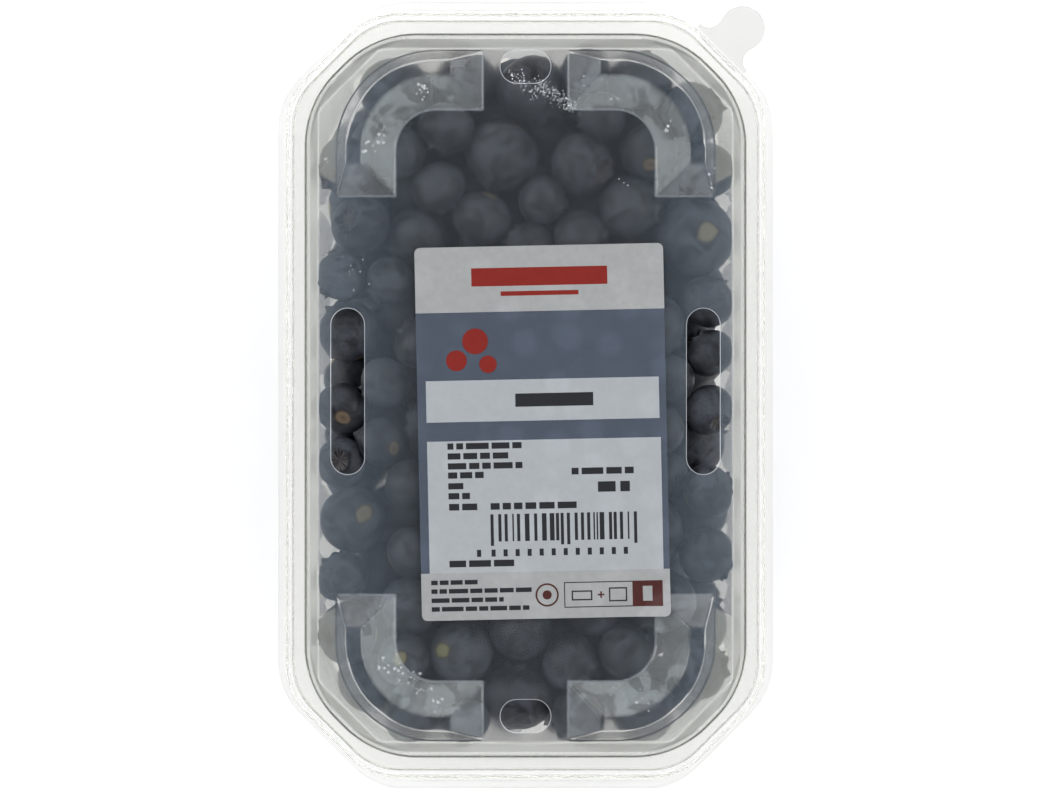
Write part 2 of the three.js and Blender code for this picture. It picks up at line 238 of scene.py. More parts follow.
LIP = Level(59.7, 95.0, 23.4, 18.0)
SKIRT_FOOT = Level(58.2, 93.1, 21.6, 17.0)
SKIRT_TOP = Level(57.5, 91.9, 20.2, 16.0)
BAND_OUTER = Level(57.0, 91.4, 19.9, 16.0)
BAND_INNER = Level(52.1, 86.1, 16.0, 24.0)
LID_MOUTH = Level(51.6, 85.6, 15.8, 23.5)
PANEL = Level(50.1, 83.7, 14.8, 4.0)
SPINE = Level(1.2, 34.8, 0.6, 0.5)
TRAY_MOUTH = Level(52.6, 86.6, 16.4, 24.0)
TRAY_SIDE = Level(47.0, 81.0, 13.5, 18.0)
TRAY_FLOOR = Level(44.5, 78.5, 12.0, 15.5)
FLANGE_EDGE = Level(56.2, 90.3, 19.4, 16.0)

WALL = 0.5
SHEET = 0.35
GAP = 0.3
FLANGE_TOP = 58.0
BAND_TOP = 58.8
PANEL_TOP = 55.0
LIP_BOTTOM = 51.5
FLANGE_LIP_BOTTOM = 54.0
FILLET_TOP = 4.0


def corner_arcs(rows: Array) -> tuple[Array, Array]:
    """Find the arcs that round the eight corners of each level.

    A side lies at its distance from the middle. An arc's centre is where two neighbouring sides,
    both moved in by the radius, cross.

    Args:
        rows: One level a row: half width, half length, cut, round, height.

    Returns:
        The centres, by level, corner and axis, and the radii by level.
    """
    half_x, half_y, cut, round_, _ = rows.T
    slant = (half_x + half_y - cut) * ROOT_HALF
    sides = np.stack([half_x, slant, half_y, slant] * 2, axis=1) - round_[:, None]
    near, following = sides, np.roll(sides, -1, axis=1)
    along = (following - near * ROOT_HALF) / ROOT_HALF
    turn = np.radians(45 * np.arange(8))
    centre_x = near * np.cos(turn) - along * np.sin(turn)
    centre_y = near * np.sin(turn) + along * np.cos(turn)
    return np.stack([centre_x, centre_y], axis=2), round_


def outline_points(rows: Array, arc: int, sides: Sequence[int]) -> Array:
    """Walk each level's outline anticlockwise.

    Each corner is an arc of equal steps. Each straight side runs from one arc's end to the
    next one's start, at shares t = 1.35 s - 0.35 s^3 for even s from -1 to 1, which puts its
    points closer together near the corners.

    Args:
        rows: One level a row: half width, half length, cut, round, height.
        arc: Steps in each arc.
        sides: Steps along a long, a slanted and a short side.

    Returns:
        Points by level, place along the outline and axis, in millimetres.
    """
    centres, radius = corner_arcs(rows)
    long_side, slanted, short_side = sides
    counts = [slanted, short_side, slanted, long_side] * 2
    parts = []
    for corner in range(8):
        angle = np.radians(45 * (corner + np.arange(arc + 1) / arc))
        ring = circle(angle)
        turn = centres[:, corner, None, :] + radius[:, None, None] * ring[None]
        parts.append(turn)
        end = turn[:, -1]
        start_angle = math.radians(45 * (corner + 1))
        direction = np.array([math.cos(start_angle), math.sin(start_angle)])
        start = centres[:, (corner + 1) % 8] + radius[:, None] * direction
        s = np.linspace(-1, 1, counts[corner] + 1)[1:-1]
        share = (1.35 * s - 0.35 * s**3 + 1) / 2
        parts.append(end[:, None] + (start - end)[:, None] * share[None, :, None])
    flat = np.concatenate(parts, axis=1)
    heights = np.broadcast_to(rows[:, None, 4:5], flat.shape[:2] + (1,))
    return np.concatenate([flat, heights], axis=2)


def bend_curve(before: Array, corner: Array, after: Array, steps: int = 4) -> Array:
    """Round a corner V between two points A and B: (1-t)^2 A + 2t(1-t) V + t^2 B.

    Args:
        before: A, or many of them, with the coordinates in the last axis.
        corner: V.
        after: B.
        steps: Points in the curve, less one.

    Returns:
        The curve's points, in a new axis before the last.
    """
    before, corner, after = (p[..., None, :] for p in (before, corner, after))
    t = np.linspace(0, 1, steps + 1)[:, None]
    return (1 - t) ** 2 * before + 2 * t * (1 - t) * corner + t**2 * after


def rounded_section(rows: Sequence[Array], bend: float, steps: int) -> Array:
    """Round the bends of a section.

    Each inner row is replaced by a curve from a bend's length before it to a bend's length
    after it. Where two rows lie closer than that, the curve takes up to 0.45 of the way.

    Args:
        rows: The section's levels in order.
        bend: The length before and after each bend that the curve takes, in millimetres.
        steps: Points in each curve, less one.

    Returns:
        The rounded section, one level a row.
    """
    rows = np.asarray(rows)
    across = rows[:, [0, 4]]
    length = np.linalg.norm(np.diff(across, axis=0), axis=1)
    share = np.minimum(bend / np.maximum(length, 1e-6), 0.45)[:, None]
    step = np.diff(rows, axis=0) * share
    before = rows[1:-1] - step[:-1]
    after = rows[1:-1] + step[1:]
    curve = bend_curve(before, rows[1:-1], after, steps)
    return np.concatenate([rows[:1], curve.reshape(-1, rows.shape[1]), rows[-1:]])


def circle(angle: Array) -> Array:
    """Give the points of a circle of radius 1 at the angles, one a row."""
    return np.stack([np.cos(angle), np.sin(angle)], axis=1)


def full_turn(count: int) -> Array:
    """Give even angles round a circle, in radians."""
    return np.linspace(0, 2 * math.pi, count, endpoint=False)


def from_middle(x: Array, y: Array, half_x: float, half_y: float) -> Array:
    """Give how far each place lies outside a rectangle about the origin, 0 inside it."""
    return np.hypot(np.maximum(np.abs(x) - half_x, 0), np.maximum(np.abs(y) - half_y, 0))


def halved(quads: Array) -> Array:
    """Split each quad in two triangles."""
    return np.concatenate([quads[:, [0, 1, 2]], quads[:, [0, 2, 3]]])


def at_height(loop: Array, z: float) -> Array:
    """Lift a flat loop of points to a height."""
    return np.c_[loop, np.full(len(loop), z)]


def sheet_faces(number: Array) -> Array:
    """Number the quads of a flat grid, from its points' numbers by row and column."""
    corners = [number[:-1, :-1], number[:-1, 1:], number[1:, 1:], number[1:, :-1]]
    return np.stack(corners, axis=2)


def repeated(faces: Array, points: int, copies: int) -> Array:
    """Number the triangles of many copies of a shape, from its own and its count of points."""
    step = np.arange(copies)[:, None, None] * points
    return (faces[None] + step).reshape(-1, 3)


def grid_faces(rings: int, around: int) -> Array:
    """Number the quads between rings of points, each ring closed on itself."""
    ring = np.arange(rings - 1)[:, None] * around
    here = np.arange(around)[None]
    after = (here + 1) % around
    quads = np.stack([ring + here, ring + after, ring + after + around, ring + here + around], 2)
    return quads.reshape(-1, 4)


def closed_loft(name: str, points: Array, materials: Sequence[Material]) -> Piece:
    """Make a closed piece from rings of points, with flat caps on the first and the last.

    Args:
        name: The piece's name.
        points: Points by ring, place and axis.
        materials: The piece's material slots.

    Returns:
        The linked object.
    """
    rings, around, _ = points.shape
    faces = grid_faces(rings, around).tolist()
    faces.append(list(range(around))[::-1])
    faces.append(list(range((rings - 1) * around, rings * around)))
    return object_from(name, points.reshape(-1, 3), faces, materials)


@dataclass(frozen=True)
class ClearPet:
    """Thermoformed PET sheet: clear, glossy, slightly grey where it is seen edge on.

    Formed from an extruded film, so it is smooth, with a faint draw line here and there. Where
    it is misted, fine drops on its inside soften what lies behind it and add a pale veil. In
    some zones the veil is also painted light: a painted reflection or highlight, or painted
    side light, as the lid's finishes say.
    """

    name: str
    tint: str = "#fbfbfa"
    roughness: float = 0.015
    side_roughness: float = 0.0
    ior: float = 1.35
    ripple: float = 0.05
    ripple_mm: float = 14.0
    veil: float = 0.02
    side_light_veil: float = 0.0
    veil_colour: str = "#f4f4f0"
    blotch: float = 0.0
    blotch_mm: float = 9.0

    def build(self) -> Material:
        """Make the material.

        Returns:
            A glass surface, with a veil of mist if it has one, that lets lamps through.
        """
        material, tree = new_material(self.name)
        place = add_node(tree, "TexCoord", out="Object")
        scale = 1 / (self.ripple_mm * MM)
        ripple = add_node(tree, "TexNoise", {"Vector": place, "Scale": scale, "Detail": 2.0})
        bump = {"Strength": self.ripple, "Distance": 0.2 * MM, "Height": ripple}
        aside = self._aside(tree, place)
        rough = self.roughness
        if self.side_roughness > 0:
            rough = add_node(tree, "MapRange", (aside, 0.0, 1.0, rough, self.side_roughness))
        glass = {"Color": linear(self.tint), "IOR": self.ior, "Roughness": rough}
        glass["Normal"] = add_node(tree, "Bump", bump)
        surface = self._veiled(tree, place, aside, add_node(tree, "BsdfGlass", glass))
        let_lamps_through(tree, surface, "#fafaf9")
        return material

    @staticmethod
    def _aside(tree: Tree, place: Any) -> Any:
        """Give a socket that is 0 along the pack's middle and 1 at its long sides."""
        across = add_node(tree, "SeparateXYZ", (place,), "X")
        off_middle = add_node(tree, "Math", (across,), operation="ABSOLUTE")
        ends = (22 * MM, 50 * MM, 0.0, 1.0)
        return add_node(tree, "MapRange", (off_middle, *ends), interpolation_type="SMOOTHSTEP")

    def _veiled(self, tree: Tree, place: Any, aside: Any, clear: Any) -> Any:
        """Lay a veil over the sheet: thin all over, thicker in blotches, and thicker to the long sides
        as painted side light.

        Args:
            tree: The material's tree.
            place: The object coordinates' socket.
            aside: The socket that rises to the long sides.
            clear: The clear sheet's shader socket.

        Returns:
            The misted sheet's shader socket.
        """
        blotches = {"Scale": 1 / (self.blotch_mm * MM), "Detail": 3.0, "Distortion": 0.7}
        noise = add_node(tree, "TexNoise", {"Vector": place, **blotches})
        spread = (noise, 0.47, 0.5, self.veil, self.veil + self.blotch)
        amount = add_node(tree, "MapRange", spread)
        # Painted side light: the share that rises to the long sides lightens the berries there as if lit
        # from the side
        total = add_node(tree, "Math", (aside, self.side_light_veil, amount), operation="MULTIPLY_ADD")
        # The veil is a pale diffuse layer: mist, and in some zones painted reflection, highlight or side
        # light
        veil_diffuse = add_node(tree, "BsdfDiffuse", {"Color": linear(self.veil_colour)})
        return add_node(tree, "MixShader", (total, clear, veil_diffuse))


@dataclass(frozen=True)
class BerrySkin:
    """Blueberry skin: nearly black, under a pale wax bloom that is rubbed off in places.

    The bloom gives the eye a dusty blue-grey, softest where light grazes. The crown at one end
    is dark and dry, and the stem's scar at the other is a pale, corky oval.
    """

    name: str = "berry_skin_waxy_bloom"
    bare: str = "#1d1e22"
    bloom: str = "#5b616b"
    crown: str = "#2a272a"
    crown_edge: str = "#6d6a6c"
    scar: tuple[str, str] = ("#766757", "#8d8b68")
    scar_rim: str = "#3b3029"
    scar_eye: str = "#4f3a2c"
    patch_mm: float = 5.5
    dust_mm: float = 0.9
    ragged_mm: float = 2.4

    def build(self) -> Material:
        """Make the material.

        The berry's own place is in the attribute berry_place, in units of its radius with the
        crown at +Z, and its own chance number is in berry_tone.

        Returns:
            The skin material.
        """
        material, tree = new_material(self.name)
        place = add_node(tree, "TexCoord", out="Object")
        own = add_node(tree, "Attribute", out="Vector", attribute_name="berry_place")
        tone = add_node(tree, "Attribute", out="Fac", attribute_name="berry_tone")
        patches, dust, ragged = (
            add_node(
                tree, "TexNoise",
                {"Vector": place, "Scale": 1 / (size * MM), "Detail": detail, "Distortion": twist},
            )
            for size, detail, twist in (
                (self.patch_mm, 4.0, 0.8), (self.dust_mm, 3.0, 0.0), (self.ragged_mm, 2.0, 0.0),
            )
        )
        worn = add_node(tree, "MapRange", (patches, 0.36, 0.6, 0.1, 0.85))
        grain = add_node(tree, "MapRange", (dust, 0.3, 0.7, 0.75, 1.1))
        shade = add_node(tree, "MapRange", (tone, 0.0, 1.0, 0.55, 1.15))
        bloom = add_node(tree, "Math", (worn, grain), operation="MULTIPLY")
        bloom = add_node(tree, "Math", (bloom, shade), operation="MULTIPLY", use_clamp=True)
        skin = self._blend(tree, bloom, linear(self.bare), linear(self.bloom))

        # The ends: rings round the axis, with ragged edges and streaks that run outwards
        reach = add_node(tree, "VectorMath", (own, (1.0, 1.25, 0.0)), operation="MULTIPLY")
        from_axis = add_node(tree, "VectorMath", (reach,), "Value", operation="LENGTH")
        offset = add_node(tree, "MapRange", (ragged, 0.3, 0.7, -0.04, 0.04))
        radius = add_node(tree, "Math", (from_axis, offset), operation="ADD")
        way = add_node(tree, "VectorMath", (reach,), operation="NORMALIZE")
        streaks = add_node(tree, "TexNoise", {"Vector": way, "Scale": 5.0, "Detail": 2.0})
        pale = add_node(tree, "MapRange", (streaks, 0.45, 0.65, 0.0, 1.0))
        calyx = self._blend(tree, pale, linear(self.crown), linear(self.crown_edge))
        browner, paler = (linear(colour) for colour in self.scar)
        cork = self._blend(tree, tone, browner, paler)
        brown = add_node(tree, "MapRange", (tone, 0.2, 0.6, 0.7, 0.0))

        height = add_node(tree, "SeparateXYZ", (own,), "Z")
        crown = self._disc(tree, radius, height, (0.46, 0.36), True)
        rim = self._disc(tree, radius, height, (0.36, 0.3), False)
        corky = self._disc(tree, radius, height, (0.33, 0.21), False)
        eye = self._disc(tree, radius, height, (0.22, 0.02), False)
        middle = add_node(tree, "Math", (eye, brown), operation="MULTIPLY")
        colour = skin
        for share, over in (
            (crown, calyx), (rim, linear(self.scar_rim)), (corky, cork),
            (middle, linear(self.scar_eye)),
        ):
            colour = self._blend(tree, share, colour, over)

        bump = {"Strength": 0.25, "Distance": 0.06 * MM, "Height": dust}
        shader = {
            "Base Color": colour,
            "Roughness": add_node(tree, "MapRange", (bloom, 0.0, 1.0, 0.36, 0.72)),
            "Normal": add_node(tree, "Bump", bump), "IOR": 1.42, "Specular IOR Level": 0.4,
        }
        surface = add_node(tree, "BsdfPrincipled", shader)
        add_node(tree, "OutputMaterial", {"Surface": surface})
        return material

    @staticmethod
    def _blend(tree: Tree, share: Any, first: Any, second: Any) -> Any:
        """Mix two colours, each a socket or a value, and give the result's socket."""
        return add_node(tree, "Mix", {0: share, 6: first, 7: second}, 2, data_type="RGBA")

    @staticmethod
    def _disc(tree: Tree, radius: Any, height: Any, edge: tuple[float, float], top: bool) -> Any:
        """Give a soft disc round one pole.

        Args:
            tree: The material's tree.
            radius: Socket with the distance from the berry's axis.
            height: Socket with the place along the axis.
            edge: Where the disc has faded out, and where it is full.
            top: True for the crown's pole, False for the scar's.

        Returns:
            A socket that is 1 in the disc and 0 away from it.
        """
        disc = add_node(tree, "MapRange", (radius, *edge, 0.0, 1.0))
        which = "GREATER_THAN" if top else "LESS_THAN"
        side = add_node(tree, "Math", (height, 0.0), operation=which)
        return add_node(tree, "Math", (disc, side), operation="MULTIPLY")


@dataclass(frozen=True)
class PrintedInk:
    """Ink printed on polypropylene film: flat and satin, with round fruit faint behind it, whose
    light and shade are painted: lighter rounds with darker gaps.
    """

    name: str
    colour: str
    see_through: float = 0.0
    mottle: float = 0.05
    fruit_light_and_shade: float = 0.0
    fleck_mm: float = 1.6
    cloud_mm: float = 9.0

    def build(self) -> Material:
        """Make the material.

        Returns:
            A satin printed surface with a fine mottle.
        """
        material, tree = new_material(self.name)
        place = add_node(tree, "TexCoord", out="Object")
        flecks = {"Vector": place, "Scale": 1 / (self.fleck_mm * MM), "Detail": 4.0}
        fleck = add_node(tree, "TexNoise", flecks)
        mottle = add_node(tree, "MapRange", (fleck, 0.3, 0.7, 1 - self.mottle, 1 + self.mottle))
        # Painted light and shade: lighter rounds with darker gaps between, for the fruit behind the film
        fruits = {"Vector": place, "Scale": 1 / (self.cloud_mm * MM)}
        fruit = add_node(tree, "TexVoronoi", fruits, feature="F1")
        ends = (fruit, 0.25, 0.5, 1 + self.fruit_light_and_shade, 1 - self.fruit_light_and_shade)
        behind = add_node(tree, "MapRange", ends, interpolation_type="SMOOTHSTEP")
        value = add_node(tree, "Math", (mottle, behind), operation="MULTIPLY")
        ink = {"Color": linear(self.colour), "Value": value}
        bump = {"Strength": 0.15, "Distance": 0.05 * MM, "Height": fleck}
        shader = {
            "Base Color": add_node(tree, "HueSaturation", ink), "Normal": add_node(tree, "Bump", bump),
            "Roughness": 0.42, "IOR": 1.5, "Specular IOR Level": 0.35,
        }
        surface = add_node(tree, "BsdfPrincipled", shader)
        if self.see_through > 0:
            clear = add_node(tree, "BsdfTransparent")
            surface = add_node(tree, "MixShader", (self.see_through, surface, clear))
        add_node(tree, "OutputMaterial", {"Surface": surface})
        return material


@dataclass(frozen=True)
class WaterDrop:
    """Condensed water: a clear bead with a bright edge and a dark ring, and a white diffuse share that is a
    painted glint.
    """

    name: str = "condensed_water_painted_glint"
    pale: float = 0.22

    def build(self) -> Material:
        """Make the material: clear water with a painted white glint, that lets lamps through."""
        material, tree = new_material(self.name)
        clear = add_node(tree, "BsdfGlass", {"IOR": 1.33, "Roughness": 0.0})
        # Painted highlight: the pale diffuse share stands in for lamps glinting in the beads
        pale = add_node(tree, "BsdfDiffuse", {"Color": linear("#eef2f6")})
        let_lamps_through(tree, add_node(tree, "MixShader", (self.pale, clear, pale)), "#ffffff")
        return material


@dataclass(frozen=True)
class PlainMatt:
    """A plain matt surface with a faint unevenness, for the core and the floor."""

    name: str
    colour: str
    glow: float = 0.0
    grain_mm: float = 6.0

    def build(self) -> Material:
        """Make the material, with a little light of its own where glow is set."""
        material, tree = new_material(self.name)
        place = add_node(tree, "TexCoord", out="Object")
        grain = add_node(tree, "TexNoise", {"Vector": place, "Scale": 1 / (self.grain_mm * MM)})
        value = add_node(tree, "MapRange", (grain, 0.0, 1.0, 0.97, 1.03))
        colour = linear(self.colour)
        shader = {
            "Base Color": add_node(tree, "HueSaturation", {"Color": colour, "Value": value}),
            "Roughness": 0.9, "Specular IOR Level": 0.1, "Emission Color": colour,
            "Emission Strength": self.glow,
        }
        add_node(tree, "OutputMaterial", {"Surface": add_node(tree, "BsdfPrincipled", shader)})
        return material


@dataclass
class Tray:
    """The tray: flat floor, fillet, drafted wall and a flange with a turned-down lip."""

    node: str = "tray"
    arc: int = 10
    sides: tuple[int, int, int] = (24, 8, 14)
    bend: float = 0.5
    finish: ClearPet = ClearPet("tray_clear_pet_thermoformed", ior=1.32, ripple=0.0)

    @staticmethod
    def inside(z: Array) -> Array:
        """Give the inner face of the tray's wall at each height.

        Over the fillet the level runs straight from the side's foot to the mouth. In it, the
        share from the floor to the side is sqrt(1 - d^2), with d the share of the way down.

        Args:
            z: Heights in millimetres.

        Returns:
            One level a row: half width, half length, cut, round, height.
        """
        floor, side, mouth = TRAY_FLOOR.row(0), TRAY_SIDE.row(0), TRAY_MOUTH.row(0)
        up = (z - FILLET_TOP) / (FLANGE_TOP - FILLET_TOP)
        down = np.clip((FILLET_TOP - z) / (FILLET_TOP - WALL), 0, 1)
        low = floor + (side - floor) * np.sqrt(1 - down**2)[:, None]
        high = side + (mouth - side) * up[:, None]
        rows = np.where((z >= FILLET_TOP)[:, None], high, low)
        rows[:, 4] = z
        return rows

    def fillet(self, by: float, floor: float, steps: int = 8) -> list[Array]:
        """Give the fillet's levels from the floor up, as a quarter of an ellipse.

        Args:
            by: How far outside the inner face the levels lie.
            floor: The height at the fillet's foot.
            steps: Steps in the fillet.

        Returns:
            The levels' rows.
        """
        low, high = TRAY_FLOOR.row(0, by), TRAY_SIDE.row(0, by)
        rows = []
        for angle in np.linspace(0, math.pi / 2, steps + 1):
            row = low + (high - low) * math.sin(angle)
            row[4] = FILLET_TOP + (floor - FILLET_TOP) * math.cos(angle)
            rows.append(row)
        return rows

    def build(self) -> Piece:
        """Make the tray over its node.

        Returns:
            The piece.
        """
        under, over = self.fillet(WALL, 0), self.fillet(WALL - SHEET, SHEET)
        upper = [
            under[-1], TRAY_MOUTH.row(FLANGE_TOP - SHEET, WALL),
            FLANGE_EDGE.row(FLANGE_TOP - SHEET, -SHEET), FLANGE_EDGE.row(FLANGE_LIP_BOTTOM, -SHEET),
            FLANGE_EDGE.row(FLANGE_LIP_BOTTOM), FLANGE_EDGE.row(FLANGE_TOP),
            TRAY_MOUTH.row(FLANGE_TOP, WALL - SHEET), over[-1],
        ]
        upper = rounded_section(upper, self.bend, 4)
        rows = np.concatenate([under[:-1], upper, over[:-1][::-1]])
        points = outline_points(rows, self.arc, self.sides)
        piece = closed_loft("tray_shell", points, [self.finish.build()])
        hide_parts(self.node)
        return piece


@dataclass
class Lid:
    """The press-on lid: skirt, band, recessed panel with four lugs, four vents and a tab."""

    node: str = "lid"
    arc: int = 12
    sides: tuple[int, int, int] = (24, 8, 14)
    bend: float = 0.5
    lug_in: tuple[float, float] = (31.4, 69.0)
    lug_round: float = 9.8
    lug_width: float = 14.2
    lug_end: tuple[float, float] = (10.3, 48.1)
    lug_rise: float = 6.0
    lug_runs: tuple[float, float, float] = (8.2, 2.3, 7.7)
    lug_arc: int = 28
    crease: float = 0.4
    hip: float = 0.5
    sharp: float = 32.0
    vent_arc: int = 96
    vent_shift: float = 1.0
    side_vent: tuple[float, float, float] = (42.9, 8.2, 40.2)
    end_vent: tuple[float, float, float] = (78.35, 12.3, 8.1)
    # Crisp glass at the rim, soft in the middle of the panel, where it is misted, and painted
    # pale lines where the sheet bends or is cut, standing in for highlights and reflections
    finishes: dict[Zone, ClearPet] = field(
        default_factory=lambda: {
            Zone.RIM: ClearPet("lid_clear_pet_rim", ior=1.32, ripple=0.0),
            # The panel is misted; its bluish veil thickening to the long sides is painted side light on the
            # berries below
            Zone.PANEL: ClearPet(
                "lid_clear_pet_panel_mist_and_painted_side_light", tint="#f3f2f1", roughness=0.265, side_roughness=0.07,
                veil=0.036, side_light_veil=0.095, veil_colour="#8c9cac",
            ),
            # The plug wall's heavy pale veil is partly mist and partly a painted reflection of the bright
            # surround on the steep wall
            Zone.PLUG: ClearPet(
                "lid_clear_pet_plug_wall_mist_and_painted_reflection", roughness=0.1, veil=0.45, veil_colour="#d6d7d2"
            ),
            # On the lugs' slopes and ends the pale veil is partly mist and partly a painted reflection of
            # the bright surround
            Zone.SLOPE: ClearPet(
                "lid_clear_pet_lug_slopes_mist_and_painted_reflection", roughness=0.07, veil=0.1, blotch=0.12,
                veil_colour="#bec6c9",
            ),
            Zone.END: ClearPet(
                "lid_clear_pet_lug_ends_mist_and_painted_reflection", roughness=0.07, veil=0.07, blotch=0.07,
                veil_colour="#b4bdc6",
            ),
            # Painted reflection: the grey-blue veil on the bends stands in for the lines that refraction
            # and reflection draw there
            Zone.BEND: ClearPet("lid_clear_pet_bends_painted_lines", veil=0.26, veil_colour="#c3cbd3"),
            # Painted highlight: the pale veil on the cut edges stands in for the bright line of light along
            # them
            Zone.CUT: ClearPet("lid_clear_pet_die_cut_edge_painted_highlight", veil=0.62, veil_colour="#e6ebf2"),
            Zone.CORNER: ClearPet(
                "lid_clear_pet_corner_facets", roughness=0.1, veil=0.18, veil_colour="#cdd0cb"
            ),
            Zone.TAB: ClearPet("lid_clear_pet_tab", tint="#f1f1f0", veil=0.04),
        }
    )

    def _lug_ways(self, x: Array, y: Array) -> tuple[Array, Array]:
        """Give how far each place lies past a lug's inner edge, a rounded corner, and its ends."""
        inner = from_middle(x, y, *(reach - self.lug_round for reach in self.lug_in))
        end = np.minimum(np.abs(x) - self.lug_end[0], np.abs(y) - self.lug_end[1])
        return inner - self.lug_round, end

    def lug_height(self, x: Array, y: Array, thickness: float) -> Array:
        """Give how far a lug's face stands over the panel at each place.

        The height is the least of the rise and the inner, outer and end slopes, each moved in
        by the thickness.

        Args:
            x: Places across, in millimetres.
            y: Places along.
            thickness: How far the face lies behind the outer one.

        Returns:
            Heights over the level of the panel's top, at least 0.
        """
        across, end = self._lug_ways(x, y)
        height = np.full_like(x, self.lug_rise - thickness)
        for way, run in zip([across, self.lug_width - across, end], self.lug_runs, strict=True):
            behind = thickness * math.hypot(run, self.lug_rise) / self.lug_rise
            height = np.minimum(height, (way - behind) * self.lug_rise / run)
        return np.maximum(height, 0)

    def _lug_loop(self, insets: Array, signs: tuple[int, int]) -> Array:
        """Give the outline of a lug: a band round a corner, with flat ends.

        The two long edges are quarter circles about one centre with straight runs to the
        ends. Each of the four end corners is a short curve.

        Args:
            insets: How far the inner, outer and end edges have moved in.
            signs: Which corner of the lid the lug is at.

        Returns:
            Points in the plane, anticlockwise.
        """
        inner, outer, end = insets
        centre = np.array(self.lug_in) - self.lug_round
        inside, outside = self.lug_round + inner, self.lug_round + self.lug_width - outer
        ring = circle(np.linspace(0, math.pi / 2, self.lug_arc + 1))
        foot_x, foot_y = self.lug_end[0] + end, self.lug_end[1] + end
        low_in = np.array([centre[0] + inside, foot_y])
        low_out = np.array([centre[0] + outside, foot_y])
        far_out = np.array([foot_x, centre[1] + outside])
        far_in = np.array([foot_x, centre[1] + inside])
        outer_arc, inner_arc = centre + ring * outside, (centre + ring * inside)[::-1]

        def bend(before: Array, corner: Array, after: Array) -> Array:
            """Round one corner between its neighbours."""
            arms = (before - corner, after - corner)
            ends = [corner + arm * self.hip / np.linalg.norm(arm) for arm in arms]
            return bend_curve(ends[0], corner, ends[1])

        low_end = [bend(inner_arc[-1], low_in, low_out), bend(low_in, low_out, outer_arc[0])]
        far_end = [bend(outer_arc[-1], far_out, far_in), bend(far_out, far_in, inner_arc[0])]
        loop = np.concatenate([*low_end, outer_arc, *far_end, inner_arc]) * np.array(signs)
        return loop if signs[0] * signs[1] > 0 else loop[::-1]

    def _lug(self, thickness: float, signs: tuple[int, int]) -> Piece:
        """Make one lug, or the hollow behind it, with a soft foot and a soft upper edge.

        Between foot and top each edge moves in by (run h + thickness hypot(run, rise)) / rise
        at height h. At both ends the way turns into the flat by a curve of the same kind as
        at the corners.

        Args:
            thickness: 0 for the lug, the sheet's thickness for the hollow.
            signs: Which corner of the lid.

        Returns:
            A closed solid that reaches below the panel's face.
        """
        runs = np.array(self.lug_runs)
        slant = np.hypot(runs, self.lug_rise)
        foot, top = PANEL_TOP - thickness, PANEL_TOP - thickness + self.lug_rise

        def inset(z: float) -> Array:
            """Give the three edges' insets at a height."""
            return (runs * (z - PANEL_TOP) + thickness * slant) / self.lug_rise

        soft, dip = self.crease, 0.012
        low = bend_curve(
            np.r_[inset(foot) - soft, foot - dip], np.r_[inset(foot), foot],
            np.r_[inset(foot + soft), foot + soft],
        )
        high = bend_curve(
            np.r_[inset(top - soft), top - soft], np.r_[inset(top), top], np.r_[inset(top) + soft, top],
        )
        sunk = np.r_[inset(foot) - soft, foot - SHEET / 2]
        level = np.r_[inset(top) + soft + 0.2, top]
        rows = np.concatenate([[sunk], low, high, [level]])
        rings = [at_height(self._lug_loop(row[:3], signs), row[3]) for row in rows]
        return closed_loft("lug_tool", np.stack(rings), [])

    def build(self) -> Piece:
        """Make the lid over its node: the sheet, then the tab on it and the vents cut out.

        Returns:
            The piece.
        """
        behind = 0.9 * SHEET
        section = [
            SPINE.row(PANEL_TOP - SHEET), PANEL.row(PANEL_TOP - SHEET, behind),
            LID_MOUTH.row(BAND_TOP - SHEET, behind), BAND_OUTER.row(BAND_TOP - SHEET, -0.2),
            SKIRT_FOOT.row(LIP_BOTTOM, -SHEET), LIP.row(LIP_BOTTOM), LIP.row(LIP_BOTTOM + WALL),
            SKIRT_FOOT.row(LIP_BOTTOM + WALL), SKIRT_TOP.row(BAND_TOP), BAND_INNER.row(BAND_TOP),
            PANEL.row(PANEL_TOP), SPINE.row(PANEL_TOP),
        ]
        under = rounded_section(section, self.bend, 3)
        under[1:-1, 4] = np.clip(under[1:-1, 4], LIP_BOTTOM, BAND_TOP)
        share = np.linspace(0, 1, 5)[1:, None]
        inward = under[-2] + (under[-1] - under[-2]) * share
        outward = (under[1] + (under[0] - under[1]) * share)[::-1]
        rows = np.concatenate([outward, under[1:-1], inward])
        points = outline_points(rows, self.arc, self.sides)
        materials = [self.finishes[zone].build() for zone in Zone]
        piece = closed_loft("lid_shell", points, materials)
        for thickness, operation in ((0.0, "UNION"), (SHEET, "DIFFERENCE")):
            for signs in ((1, 1), (-1, 1), (-1, -1), (1, -1)):
                boolean(piece, self._lug(thickness, signs), operation)
        boolean(piece, self._tab(), "UNION")
        for tool in self._vent_tools():
            boolean(piece, tool, "DIFFERENCE")
        self._finish_by_place(piece.data)
        piece.data.set_sharp_from_angle(angle=math.radians(self.sharp))
        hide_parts(self.node)
        return piece

